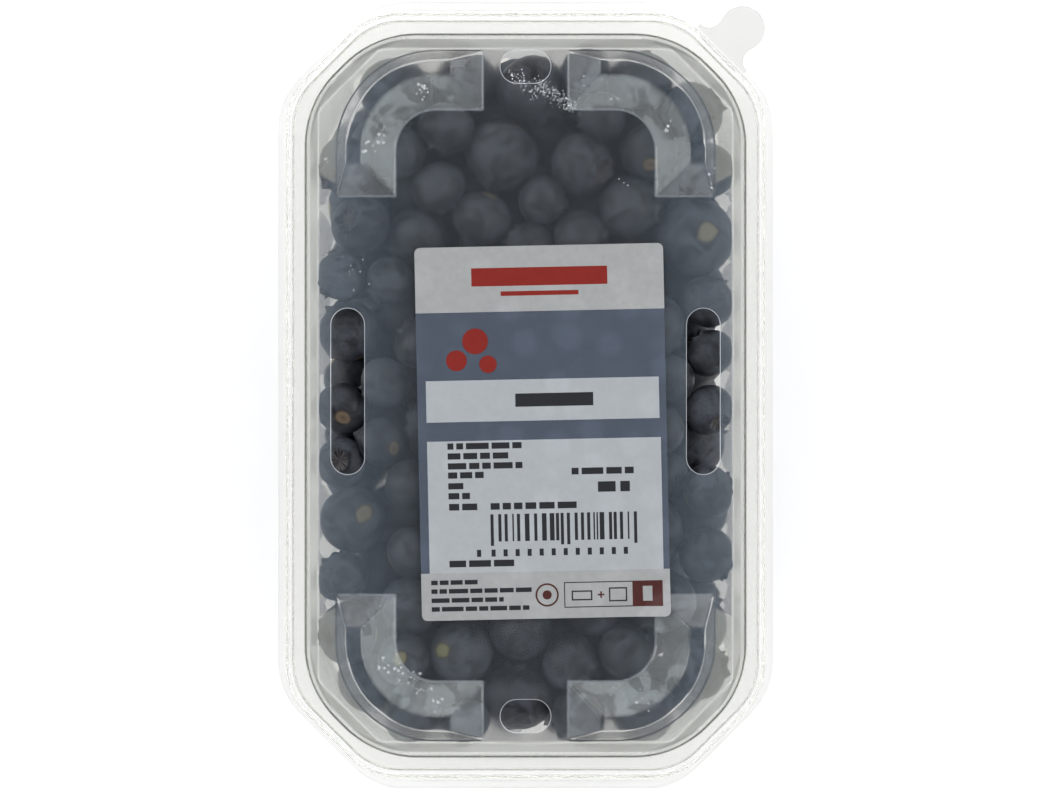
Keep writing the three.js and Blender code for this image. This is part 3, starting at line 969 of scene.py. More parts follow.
    def _finish_by_place(self, mesh: bpy.types.Mesh) -> None:
        """Give each face the finish of its zone, worked out from the place of its middle.

        Each rule takes its faces from the rules before it.
        """
        edge, plug_reach, level, lip_reach, cut_reach = 0.1, 2.2, 0.97, 0.2, 0.22
        centres = np.empty(len(mesh.polygons) * 3)
        normals = np.empty_like(centres)
        mesh.polygons.foreach_get("center", centres)
        mesh.polygons.foreach_get("normal", normals)
        x, y, z = (centres.reshape(-1, 3) / MM).T
        tilted = np.abs(normals[2::3]) < level
        beyond = np.maximum(np.abs(x) - PANEL.half_x, np.abs(y) - PANEL.half_y)
        slant = PANEL.half_x + PANEL.half_y - PANEL.cut
        beyond = np.maximum(beyond, (np.abs(x) + np.abs(y) - slant) * ROOT_HALF)
        beyond_lip = (x + y) * ROOT_HALF - (LIP.half_x + LIP.half_y - LIP.cut) * ROOT_HALF
        on_panel = beyond < edge
        from_inner, from_end = self._lug_ways(x, y)
        from_outer = self.lug_width - from_inner
        nearest = np.minimum(from_inner, from_end)
        up = (z > PANEL_TOP - SHEET + 0.02) & (z < PANEL_TOP + self.lug_rise - SHEET - 0.1)
        sloping = (nearest > -self.crease) & up & (from_outer > self.lug_runs[1]) & on_panel
        end_slope = from_end / self.lug_runs[2] < from_inner / self.lug_runs[0]
        at_foot = (nearest < 0.9 * self.crease) & (z > PANEL_TOP + 0.004)
        zone = np.full(len(x), Zone.RIM.value)
        for kind, where in (
            (Zone.PANEL, on_panel), (Zone.PLUG, ~on_panel & (beyond < plug_reach)),
            (Zone.CORNER, on_panel & (from_outer < -self.crease) & (from_end > -3.0)),
            (Zone.SLOPE, sloping), (Zone.END, sloping & end_slope), (Zone.BEND, sloping & at_foot),
            (Zone.TAB, beyond_lip > lip_reach),
        ):
            zone = np.where(where, kind.value, zone)
        for vent_x, vent_y, width, length in self.vents():
            radius = min(width, length) / 2
            away = from_middle(x - vent_x, y - vent_y, width / 2 - radius, length / 2 - radius)
            zone = np.where(tilted & (away < radius + cut_reach), Zone.CUT.value, zone)
        mesh.polygons.foreach_set("material_index", zone.astype(np.int32))

    def vents(self) -> list[tuple[float, float, float, float]]:
        """List the vents: the place of the middle, and the size each way."""
        (aside, *side), (beyond, *end) = self.side_vent, self.end_vent
        shift = self.vent_shift
        sides = [(x, shift, *side) for x in (aside, -aside)]
        return sides + [(0.0, y + shift, *end) for y in (beyond, -beyond)]

    def _vent_tools(self) -> list[Piece]:
        """Make the four cutters for the vents: prisms with round ends that flare at the top."""
        tools = []
        for x, y, width, length in self.vents():
            radius = min(width, length) / 2
            ring = circle(full_turn(self.vent_arc) + math.pi / self.vent_arc)
            stretch = np.sign(ring) * [width / 2 - radius, length / 2 - radius]
            rings = []
            for z, wider in (
                (PANEL_TOP - 2 * WALL, 0.0), (PANEL_TOP - 0.3, 0.0), (PANEL_TOP - 0.08, 0.04),
                (PANEL_TOP + 0.02, 0.2), (PANEL_TOP + WALL, 0.2),
            ):
                rings.append(at_height(ring * (radius - 0.1 + wider) + stretch + [x, y], z))
            tools.append(closed_loft("vent_tool", np.stack(rings), []))
        return tools

    def _tab(self) -> Piece:
        """Make the lift tab: a lobe that flares into the lip, with a soft upper edge.

        The half outline is the flare's arc, tangent to the lip and to the lobe, then the
        lobe's arc. It is mirrored, turned to the corner and stacked in four layers.
        """
        lobe, reach, flare, sink = 5.5, 6.4, 3.2, 1.6
        thick, soft = 0.6, 0.15
        foot = np.array([47.85, 84.15])
        across = math.sqrt((lobe + flare) ** 2 - (reach - flare) ** 2)
        meet = math.atan2(flare - reach, across)
        hollow = np.linspace(-math.pi / 2, meet - math.pi, 14)
        bow = np.linspace(meet, math.pi / 2, 16)[1:]
        arcs = [[across, flare] + flare * circle(hollow), [0.0, reach] + lobe * circle(bow)]
        half = np.concatenate([[[across, -sink]], *arcs])
        whole = np.concatenate([half, half[:-1][::-1] * [-1, 1]])
        away = whole - [0.0, reach / 2]
        away /= np.linalg.norm(away, axis=1)[:, None]
        rings = []
        for up, inset in ((0, soft), (soft, 0), (thick - soft, 0), (thick, soft)):
            x, y = (whole - away * inset).T
            turned = np.stack([(x + y) * ROOT_HALF, (y - x) * ROOT_HALF], axis=1)
            rings.append(at_height(turned + foot, LIP_BOTTOM + up))
        return closed_loft("tab_tool", np.stack(rings), [])


@dataclass(frozen=True)
class MarkedBerry:
    """A berry that can be told apart through the lid: place, diameter and what it turns up."""

    x: float
    y: float
    diameter: float
    mark: Mark = Mark.PLAIN
    towards: tuple[float, float] = (0.0, 0.0)
    tone: float = 0.5


MARKED = tuple(
    MarkedBerry(*row)
    for row in (
        (-7.3, 57.1, 18.8), (4.2, 47.6, 12.2), (16.7, 55.2, 15.8, Mark.CROWN, (0.75, -0.2)),
        (27.3, 54.5, 14.2, Mark.SCAR, (0.05, -0.5), 0.1), (-23.4, 51.6, 13.4), (-8.1, 43.3, 14.5),
        (17.4, 40.0, 14.2), (36.2, 36.7, 19.8, Mark.SCAR, (0.36, 0.08), 0.7),
        (-41.2, 42.7, 14.6, Mark.CROWN, (-0.45, 0.15)), (-32.8, 27.8, 12.4),
        (-43.9, -1.6, 13.0, Mark.SCAR, (0.05, -0.4), 0.0),
        (-43.0, -16.0, 12.4, Mark.CROWN, (-0.05, 0.1)), (-34.3, 3.4, 13.0),
        (-33.8, -11.4, 12.4, Mark.SCAR, (0.55, -0.3), 0.3),
        (-40.5, -33.5, 16.6, Mark.SCAR, (0.42, 0.25)), (-27.5, -40.3, 12.6), (38.6, 6.4, 12.4),
        (43.2, -2.2, 12.8, Mark.CROWN, (0.4, -0.5)), (43.6, -24.4, 13.6), (43.0, -36.6, 14.4),
        (-15.5, -61.3, 15.8, Mark.SCAR, (-0.65, 0.1), 1.0),
        (-27.5, -63.3, 13.2, Mark.SCAR, (-0.15, 0.1), 0.9), (7.6, -62.6, 14.2), (21.3, -61.3, 14.2),
    )
)


def seeded(seed: int) -> Any:
    """Make a small repeatable random source.

    Args:
        seed: Where it starts.

    Returns:
        A function that gives numbers from 0 to 1.
    """
    mask = 0xFFFFFFFF
    state = seed

    def draw() -> float:
        """Give the next number."""
        nonlocal state
        state = (state + 0x6D2B79F5) & mask
        t = ((state ^ (state >> 15)) * (1 | state)) & mask
        t = ((t + ((t ^ (t >> 7)) * (61 | t) & mask)) & mask) ^ t
        return ((t ^ (t >> 14)) & mask) / 2**32

    return draw


@dataclass
class Berries:
    """The heap of berries: packed by pushing apart, with crowns, scars and bloom."""

    node: str = "berries"
    seed: int = 20
    fill: float = 0.62
    mean: float = 15.2
    spread: float = 1.9
    least: float = 12.0
    most: float = 19.5
    flat: float = 0.9
    flat_spread: float = 0.05
    upright: float = 0.15
    pack_steps: int = 320
    grow_steps: int = 160
    push: float = 0.5
    marked_push: float = 0.03
    marked_rise: float = 0.15
    directions: int = 8
    vent_clearance: float = 2.6
    core_depth: float = 17.0
    shown_depth: float = 13.0
    upper_depth: float = 20.0
    low: tuple[tuple[float, ...], ...] = ((-45.5, -10.0, 30.0, 8.4, 0.8, 0.6, 0.0),)
    skin: BerrySkin = BerrySkin()

    def _vent_ceiling(self, x: Array, y: Array, radius: Array) -> Array:
        """Give the highest that each berry's middle may lie.

        Under the panel that is its underside less the radius. A berry that reaches under a
        vent stays lower by the clearance, by the height of its own surface there.

        Args:
            x: Places across.
            y: Places along.
            radius: The berries' radii.

        Returns:
            Heights.
        """
        highest = PANEL_TOP - WALL - GAP - radius
        for vent_x, vent_y, width, length in Lid().vents():
            away = from_middle(x - vent_x, y - vent_y, width / 2, length / 2)
            top = np.sqrt(np.maximum(radius**2 - away**2, 0))
            lower = PANEL_TOP - WALL - self.vent_clearance - top
            highest = np.where(away < radius, np.minimum(highest, lower), highest)
        return highest

    def _keep_inside(self, places: Array, radius: Array) -> None:
        """Move berries back inside the tray: by height, then from each wall direction.

        The wall's reach in a direction is that of the arc whose corner faces it.
        """
        lowest = WALL + GAP + radius
        ceiling = self._vent_ceiling(places[:, 0], places[:, 1], radius)
        places[:, 2] = np.minimum(np.maximum(places[:, 2], lowest), ceiling)
        centres, round_ = corner_arcs(Tray.inside(places[:, 2]))
        for step in range(self.directions + 1):
            angle = math.radians(90 * step / self.directions)
            normal = np.array([math.cos(angle), math.sin(angle)])
            corner = 0 if 2 * step < self.directions else 1
            reach = centres[:, corner] @ normal + round_ - radius - GAP
            out = np.maximum(np.abs(places[:, :2]) @ normal - reach, 0)
            places[:, :2] -= np.sign(places[:, :2]) * normal * out[:, None]

    def pack(self) -> tuple[Array, ...]:
        """Pack the berries by the model's own rule.

        The marked ones start under the lid, the others anywhere. All grow to full size while
        those that touch push each other apart by half of what they overlap.

        Returns:
            Places, diameters, flattenings, axes and tones, one row a berry.
        """
        draw = seeded(self.seed)

        def within(least: float, most: float) -> float:
            """Give a number between two limits."""
            return least + (most - least) * draw()

        rows = [[m.x, m.y, PANEL_TOP - m.diameter / 2, m.diameter] for m in MARKED]
        floor = 4 * TRAY_FLOOR.half_x * TRAY_FLOOR.half_y - 2 * TRAY_FLOOR.cut**2
        mouth = 4 * TRAY_MOUTH.half_x * TRAY_MOUTH.half_y - 2 * TRAY_MOUTH.cut**2
        room = self.fill * (floor + mouth) * (PANEL_TOP - WALL) / 2
        room -= sum(math.pi / 6 * m.diameter**3 for m in MARKED)
        while room > 0:
            normal = draw() + draw() + draw() + draw() - 2
            diameter = self.mean + self.spread * normal * math.sqrt(3)
            diameter = min(max(diameter, self.least), self.most)
            x = within(-TRAY_SIDE.half_x, TRAY_SIDE.half_x)
            y = within(-TRAY_SIDE.half_y, TRAY_SIDE.half_y)
            rows.append([x, y, within(WALL, PANEL_TOP), diameter])
            room -= math.pi / 6 * diameter**3
        table = np.array(rows)
        places, diameter = table[:, :3].copy(), table[:, 3]
        marked = np.arange(len(table)) < len(MARKED)
        share = np.full((len(table), 3), self.push)
        share[marked, :2] = self.marked_push
        for step in range(self.pack_steps):
            size = min(0.5 + 0.5 * step / self.grow_steps, 1)
            apart = places[:, None] - places[None]
            distance = np.sqrt((apart**2).sum(axis=2))
            touch = size * (diameter[:, None] + diameter[None]) / 2
            meets = (distance < touch) & (distance > 0)
            push = np.where(meets, (touch - distance) / np.where(meets, distance, 1) / 2, 0)
            places += (apart * push[:, :, None]).sum(axis=1) * share
            places[marked, 2] += self.marked_rise
            self._keep_inside(places, size * diameter / 2)
        flats, axes = [], []
        for _ in range(len(table)):
            flats.append(self.flat + self.flat_spread * (2 * draw() - 1))
            axes.append([within(-1, 1), within(-1, 1), within(-1, 1)])
        axes = np.array(axes) * [1.0, 1.0, self.upright]
        axes /= np.linalg.norm(axes, axis=1)[:, None]
        tones = np.random.default_rng(self.seed).uniform(0, 1, len(table))
        tones[: len(MARKED)] = [m.tone for m in MARKED]
        return places, diameter, np.array(flats), self._turn_marks(axes), tones

    @staticmethod
    def _turn_marks(axes: Array) -> Array:
        """Turn the marked berries so that their crown or scar faces up at its place."""
        for number, marked in enumerate(MARKED):
            if marked.mark is Mark.PLAIN:
                continue
            dx, dy = marked.towards
            up = np.array([dx, dy, math.sqrt(max(1 - dx * dx - dy * dy, 0.05))])
            up /= np.linalg.norm(up)
            axes[number] = up if marked.mark is Mark.CROWN else -up
        return axes

    @staticmethod
    def unit_berry(around: int) -> tuple[Array, Array]:
        """Make one berry of radius 1 with its crown at +Z.

        A sphere by angle p from the crown and angle q round the axis. Its surface is raised
        along the sphere's normal by a crown and sunk by a scar. The crown is a ring,
        exp(-((p - 0.36)/0.055)^2), whose height swings with the fifth turn of q as five
        lobes, round a sunk disc, -0.1 / (1 + exp((p - 0.29)/0.02)). The scar is a shallow
        dimple, -0.05 exp(-((pi - p)/0.2)^2).

        Args:
            around: Points round the axis.

        Returns:
            The points and the faces.
        """
        crown = [0.0, 0.14, 0.24, 0.29, 0.33, 0.365, 0.40, 0.45, 0.56]
        body = [0.78, 1.05, 1.35, 1.65, 1.95, 2.25, 2.55, 2.78, 2.93, 3.05]
        polar = np.array(crown + body)[1:]
        turn = full_turn(around)
        p, q = np.meshgrid(polar, turn, indexing="ij")
        lobes = 0.55 + 0.45 * np.cos(5 * q)
        ring = np.exp(-(((p - 0.36) / 0.055) ** 2)) * (0.05 + 0.13 * lobes)
        disc = -0.1 / (1 + np.exp((p - 0.29) / 0.02))
        scar = -0.05 * np.exp(-(((math.pi - p) / 0.2) ** 2))
        radius = 1 + ring + disc + scar
        flare = 1 + 0.25 * ring
        x = radius * np.sin(p) * np.cos(q) * flare
        y = radius * np.sin(p) * np.sin(q) * flare
        z = radius * np.cos(p)
        rings = np.stack([x, y, z], axis=2).reshape(-1, 3)
        poles = [[0, 0, 0.9], [0, 0, -0.95]]
        points = np.concatenate([rings, poles])
        quads = grid_faces(len(polar), around)[:, ::-1]
        here = np.arange(around)
        after = (here + 1) % around
        last = (len(polar) - 1) * around
        top = np.stack([np.full(around, len(rings)), here, after], axis=1)
        low = np.stack([np.full(around, len(rings) + 1), last + after, last + here], axis=1)
        return points, np.concatenate([halved(quads), top, low])

    def _shown(self, places: Array, diameter: Array) -> Array:
        """Tell which berries lie near enough to the heap's outside to be seen."""
        rows = Tray.inside(places[:, 2])
        slant = (rows[:, 0] + rows[:, 1] - rows[:, 2]) * ROOT_HALF
        size = np.abs(places[:, :2])
        depth = np.minimum(PANEL_TOP - WALL - places[:, 2], places[:, 2] - WALL)
        depth = np.minimum(depth, rows[:, 0] - size[:, 0])
        depth = np.minimum(depth, rows[:, 1] - size[:, 1])
        depth = np.minimum(depth, slant - size.sum(axis=1) * ROOT_HALF)
        return depth - diameter / 2 < self.shown_depth

    def build(self) -> list[Piece]:
        """Make the berries and the core they lie round.

        Returns:
            The pieces.
        """
        heap = self.pack()
        shown = self._shown(heap[0], heap[1])
        # The low ones, each a place, a diameter and an axis, lie under the side vents
        low = np.array(self.low)
        flats, tones = np.full(len(low), self.flat), np.zeros(len(low))
        fillers = (low[:, :3], low[:, 3], flats, low[:, 4:], tones)
        heap = tuple(np.concatenate([v[shown], more]) for v, more in zip(heap, fillers))
        upper = heap[0][:, 2] > PANEL_TOP - self.upper_depth
        skin = self.skin.build()
        pieces = []
        for name, chosen, around in (("berries_upper", upper, 40), ("berries_lower", ~upper, 20)):
            piece = self._joined(name, tuple(v[chosen] for v in heap), around, skin)
            pieces.append(piece)
            log.info("%s: %d berries", name, int(chosen.sum()))
        core_material = PlainMatt("core_dark_fruit", "#14151b").build()
        heights = np.array([WALL + self.core_depth, PANEL_TOP - WALL - self.core_depth])
        rows = Tray.inside(heights)
        inset = [Level(*row[:4]).row(row[4], -self.core_depth) for row in rows]
        points = outline_points(np.array(inset), 4, (4, 2, 3))
        pieces.append(closed_loft("berry_core", points, [core_material]))
        for piece in pieces:
            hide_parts(self.node)
        return pieces

    def _joined(self, name: str, heap: tuple[Array, ...], around: int, skin: Material) -> Piece:
        """Put many turned and scaled berries in one mesh.

        Each berry is the unit berry, flattened along its axis, scaled, turned by the least
        rotation from +Z to its axis, I + [v] + [v]^2 / (1 + c), and moved to its place.

        Args:
            name: The piece's name.
            heap: The berries' places, diameters, flattenings, axes and tones.
            around: Points round each berry.
            skin: The material.

        Returns:
            The piece.
        """
        places, diameter, flats, axes, tones = heap
        unit, triangles = self.unit_berry(around)
        chance = np.random.default_rng(self.seed)
        count = len(places)
        spin = chance.uniform(0, 2 * math.pi, count)
        local = unit[None] * np.ones((count, 1, 1))
        cos, sin = np.cos(spin)[:, None], np.sin(spin)[:, None]
        spun_x = local[:, :, 0] * cos - local[:, :, 1] * sin
        spun_y = local[:, :, 0] * sin + local[:, :, 1] * cos
        wobble = 1 + 0.02 * np.sin(2 * np.arctan2(spun_y, spun_x) + 3 * spin[:, None])
        shaped = np.stack([spun_x * wobble, spun_y * wobble, local[:, :, 2] * flats[:, None]], 2)
        shaped /= np.abs(shaped).max(axis=(1, 2))[:, None, None]
        v = np.stack([-axes[:, 1], axes[:, 0], np.zeros(count)], axis=1)
        cross = np.zeros((count, 3, 3))
        cross[:, 0, 1], cross[:, 0, 2] = -v[:, 2], v[:, 1]
        cross[:, 1, 0], cross[:, 1, 2] = v[:, 2], -v[:, 0]
        cross[:, 2, 0], cross[:, 2, 1] = -v[:, 1], v[:, 0]
        closeness = np.maximum(1 + axes[:, 2], 1e-3)[:, None, None]
        rotation = np.eye(3)[None] + cross + cross @ cross / closeness
        turned = np.einsum("nij,nkj->nki", rotation, shaped)
        points = turned * (diameter / 2)[:, None, None] + places[:, None]
        faces = repeated(triangles, len(unit), count)
        piece = object_from(name, points.reshape(-1, 3), faces, [skin])
        own = piece.data.attributes.new("berry_place", "FLOAT_VECTOR", "POINT")
        own.data.foreach_set("vector", local.astype(np.float32).ravel())
        tone = piece.data.attributes.new("berry_tone", "FLOAT", "POINT")
        values = np.repeat(tones, len(unit))
        tone.data.foreach_set("value", values.astype(np.float32))
        return piece


class Ink(Enum):
    """What covers a field of the label, in the order of its material slots."""

    TINT = 0
    HEADER = 1
    WHITE = 2
    DARK = 3
    TILE = 4
    RED = 5


@dataclass(frozen=True)
class Field:
    """One rectangle of the label's print, from the label's lower left corner."""

    left: float
    bottom: float
    right: float
    top: float
    ink: Ink


@dataclass
class Label:
    """The film label: clear tinted windows, white fields, bars for text and a barcode."""

    node: str = "label"
    width: float = 60.0
    length: float = 90.0
    x: float = 4.1
    y: float = -8.8
    turn: float = 1.2
    round: float = 1.4
    thick: float = 0.16
    fold: tuple[float, float] = (31.4, -48.1)
    rise: tuple[float, float] = (8.2, -7.7)
    lift: float = 0.62
    soft: float = 0.35
    air: float = 0.12
    step: float = 2.0
    seed: int = 7

    def fields(self) -> list[Field]:
        """List the print, each field over the ones before it.

        Returns:
            The fields, bars of words and the barcode among them.
        """
        width, top = self.width, self.length
        foot = 11.4
        panes = [
            (0, top - 15.8, width, top, Ink.HEADER),
            (2.1, top - 42.2, width - 1.7, top - 32.2, Ink.WHITE),
            (2.1, foot, width - 1.5, top - 46.8, Ink.WHITE), (0, 0, width, foot, Ink.HEADER),
            (13.6, top - 9.6, 46.4, top - 5.2, Ink.RED), (20.6, top - 12.0, 39.4, top - 10.9, Ink.RED),
            (23.6, top - 38.8, 42.4, top - 35.6, Ink.DARK), (34.4, 2.5, 58.2, 8.7, Ink.DARK),
            (34.65, 2.75, 57.95, 8.45, Ink.HEADER), (50.9, 2.5, 58.2, 8.7, Ink.TILE),
            (53.4, 3.8, 55.7, 7.4, Ink.HEADER), (36.2, 4.2, 41.2, 6.6, Ink.DARK),
            (36.55, 4.55, 40.85, 6.25, Ink.HEADER), (45.2, 3.8, 49.6, 7.2, Ink.DARK),
            (45.55, 4.15, 49.25, 6.85, Ink.HEADER), (42.5, 5.3, 44.1, 5.7, Ink.TILE),
            (43.1, 4.7, 43.5, 6.3, Ink.TILE),
        ]
        fields = [Field(*pane) for pane in panes]
        draw = seeded(self.seed)
        rows = [
            (7.0, top - 48.8, 17.9, 1.5), (7.0, top - 51.2, 15.5, 1.5), (7.0, top - 53.6, 18.0, 1.5),
            (7.0, top - 55.8, 8.6, 1.5), (7.0, top - 58.4, 4.8, 1.5), (7.0, top - 60.8, 5.2, 1.5),
            (7.1, top - 63.5, 6.8, 1.6), (17.1, top - 63.5, 20.8, 1.6), (36.8, top - 55.4, 15.0, 1.6),
            (43.1, top - 59.7, 7.7, 2.5), (6.9, top - 77.2, 16.7, 1.6), (2.4, 8.6, 11.2, 1.1),
            (2.4, 6.5, 24.2, 1.1), (2.4, 4.3, 17.4, 1.1), (2.4, 2.2, 24.2, 1.1),
        ]
        for left, bottom, long, high in rows:
            reach = left
            while reach < left + long - 0.5:
                word = min(1.4 + 4.2 * draw(), left + long - reach)
                fields.append(Field(reach, bottom, reach + word, bottom + high, Ink.DARK))
                reach += word + 0.45 * high
        for number in range(13):
            left = 13.6 + 2.9 * number + (0.6 if number else 0)
            fields.append(Field(left, top - 74.8, left + 1.0, top - 73.1, Ink.DARK))
        module, start, modules = 0.376, 17.0, 95
        reach = 0
        while reach < modules:
            wide = 1 + int(2.6 * draw())
            guard = reach < 4 or reach > modules - 5 or abs(reach - modules / 2) < 3
            bottom = top - (72.2 if guard else 71.2)
            left = start + module * reach
            fields.append(Field(left, bottom, left + module * wide, top - 64.6, Ink.DARK))
            reach += wide + 1 + int(2.4 * draw())
        return fields

    def height(self, x: Array, y: Array) -> Array:
        """Give the film's underside: flat, and past the fold a plane up over the lug's foot.

        The bend is softened by a soft maximum, k log(1 + exp(d/k)), of the distance d past
        the fold.

        Args:
            x: Places across the pack.
            y: Places along it.

        Returns:
            Heights in millimetres.
        """
        size = math.hypot(*self.rise)
        past = ((x - self.fold[0]) * self.rise[0] + (y - self.fold[1]) * self.rise[1]) / size
        lifted = np.logaddexp(0, np.clip(past / self.soft, -60, None)) * self.soft
        return PANEL_TOP + self.air + lifted * self.lift

    def placed(self, u: Array, v: Array) -> tuple[Array, Array]:
        """Turn places on the label, from its lower left corner, to places on the pack."""
        angle = math.radians(self.turn)
        across, along = u - self.width / 2, v - self.length / 2
        x = self.x + across * math.cos(angle) - along * math.sin(angle)
        y = self.y + across * math.sin(angle) + along * math.cos(angle)
        return x, y

    def build(self) -> list[Piece]:
        """Make the label over its node.

        A grid of quads has a line at every field's edge, so each quad lies in one field. The
        corners are rounded by moving the outer points in along the corner's square.

        Returns:
            The pieces.
        """
        fields = self.fields()
        corner = self.round * (1 - np.cos(np.linspace(0, math.pi / 2, 6)))
        lines_u, lines_v = (
            np.unique(np.round(np.r_[np.arange(0, size + 0.1, self.step), edges, corner, size - corner], 3))
            for size, edges in (
                (self.width, [edge for f in fields for edge in (f.left, f.right)]),
                (self.length, [edge for f in fields for edge in (f.bottom, f.top)]),
            )
        )
        u, v = np.meshgrid(lines_u, lines_v)
        u, v = self._rounded(u, v)
        x, y = self.placed(u, v)
        low = self.height(x, y)
        count_v, count_u = u.shape
        bottom = np.stack([x, y, low], axis=2).reshape(-1, 3)
        top = np.stack([x, y, low + self.thick], axis=2).reshape(-1, 3)
        number = np.arange(count_u * count_v).reshape(count_v, count_u)
        quads = sheet_faces(number)
        ink = np.zeros(quads.shape[:2], int)
        middle_u = (lines_u[1:] + lines_u[:-1]) / 2
        middle_v = (lines_v[1:] + lines_v[:-1]) / 2
        for f in fields:
            across = (middle_u > f.left) & (middle_u < f.right)
            along = (middle_v > f.bottom) & (middle_v < f.top)
            ink[np.ix_(along, across)] = f.ink.value
        quads = quads.reshape(-1, 4)
        rim = np.concatenate([number[0, :-1], number[:-1, -1], number[-1, :0:-1], number[:0:-1, 0]])
        after = np.roll(rim, -1)
        total = len(bottom)
        sides = np.stack([rim, after, after + total, rim + total], axis=1)
        faces = np.concatenate([quads + total, quads[:, ::-1], sides])
        materials = [
            PrintedInk("label_film_tinted", "#6f7a8c", 0.55, 0.03, 0.09).build(),
            PrintedInk("label_film_printed_grey_white", "#c4c6c5", 0.2, 0.05, 0.03).build(),
            PrintedInk("label_film_printed_white", "#c8cdd1", 0.15, 0.03, 0.03).build(),
            PrintedInk("label_ink_black", "#2a2b2f").build(),
            PrintedInk("label_ink_red_brown", "#522926").build(),
            PrintedInk("label_ink_red", "#8f271f").build(),
        ]
        piece = object_from("label_print", np.concatenate([bottom, top]), faces, materials, False)
        slots = np.concatenate([ink.ravel(), np.zeros(len(quads) + len(sides), int)])
        piece.data.polygons.foreach_set("material_index", slots.astype(np.int32))
        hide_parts(self.node)
        return [piece, self._marks(materials)]

    def _rounded(self, u: Array, v: Array) -> tuple[Array, Array]:
        """Round the label's corners.

        In each corner's square, a point at (a, b) from the square's inner corner, as shares of
        its side, goes to (a sqrt(1 - b^2/2), b sqrt(1 - a^2/2)), which maps a square to a disc.
        """
        centre_u = np.clip(u, self.round, self.width - self.round)
        centre_v = np.clip(v, self.round, self.length - self.round)
        a, b = (u - centre_u) / self.round, (v - centre_v) / self.round
        new_u = centre_u + a * np.sqrt(1 - b**2 / 2) * self.round
        new_v = centre_v + b * np.sqrt(1 - a**2 / 2) * self.round
        return new_u, new_v

    def _marks(self, materials: Sequence[Material]) -> Piece:
        """Make the round marks: three red discs in the window, and a ring with a dot below.

        Each is a flat ring between two radii, a hair over the film.
        """
        points, faces, slots = [], [], []
        around, up = 48, self.thick + 0.03
        for u, v, inner, outer, slot in (
            (14.2, 67.2, 0.0, 3.1, 0), (9.6, 62.6, 0.0, 2.5, 0), (17.2, 61.6, 0.0, 2.1, 0),
            (30.3, 5.7, 2.4, 2.8, 1), (30.3, 5.7, 0.0, 1.1, 1),
        ):
            angle = full_turn(around)
            start = len(points) * around
            for radius in (inner + 1e-3, outer):
                x, y = self.placed(u + radius * np.cos(angle), v + radius * np.sin(angle))
                points.append(np.stack([x, y, self.height(x, y) + up], axis=1))
            here = start + np.arange(around)
            after = start + (np.arange(around) + 1) % around
            faces.append(np.stack([here, here + around, after + around, after], axis=1))
            slots.append(np.full(around, slot))
        piece = object_from(
            "label_marks", np.concatenate(points), np.concatenate(faces),
            [materials[Ink.RED.value], materials[Ink.TILE.value]], False,
        )
        piece.data.polygons.foreach_set("material_index", np.concatenate(slots).astype(np.int32))
        thick = piece.modifiers.new("thickness", "SOLIDIFY")
        thick.thickness = 0.02 * MM
        apply_modifiers(piece)
        return piece


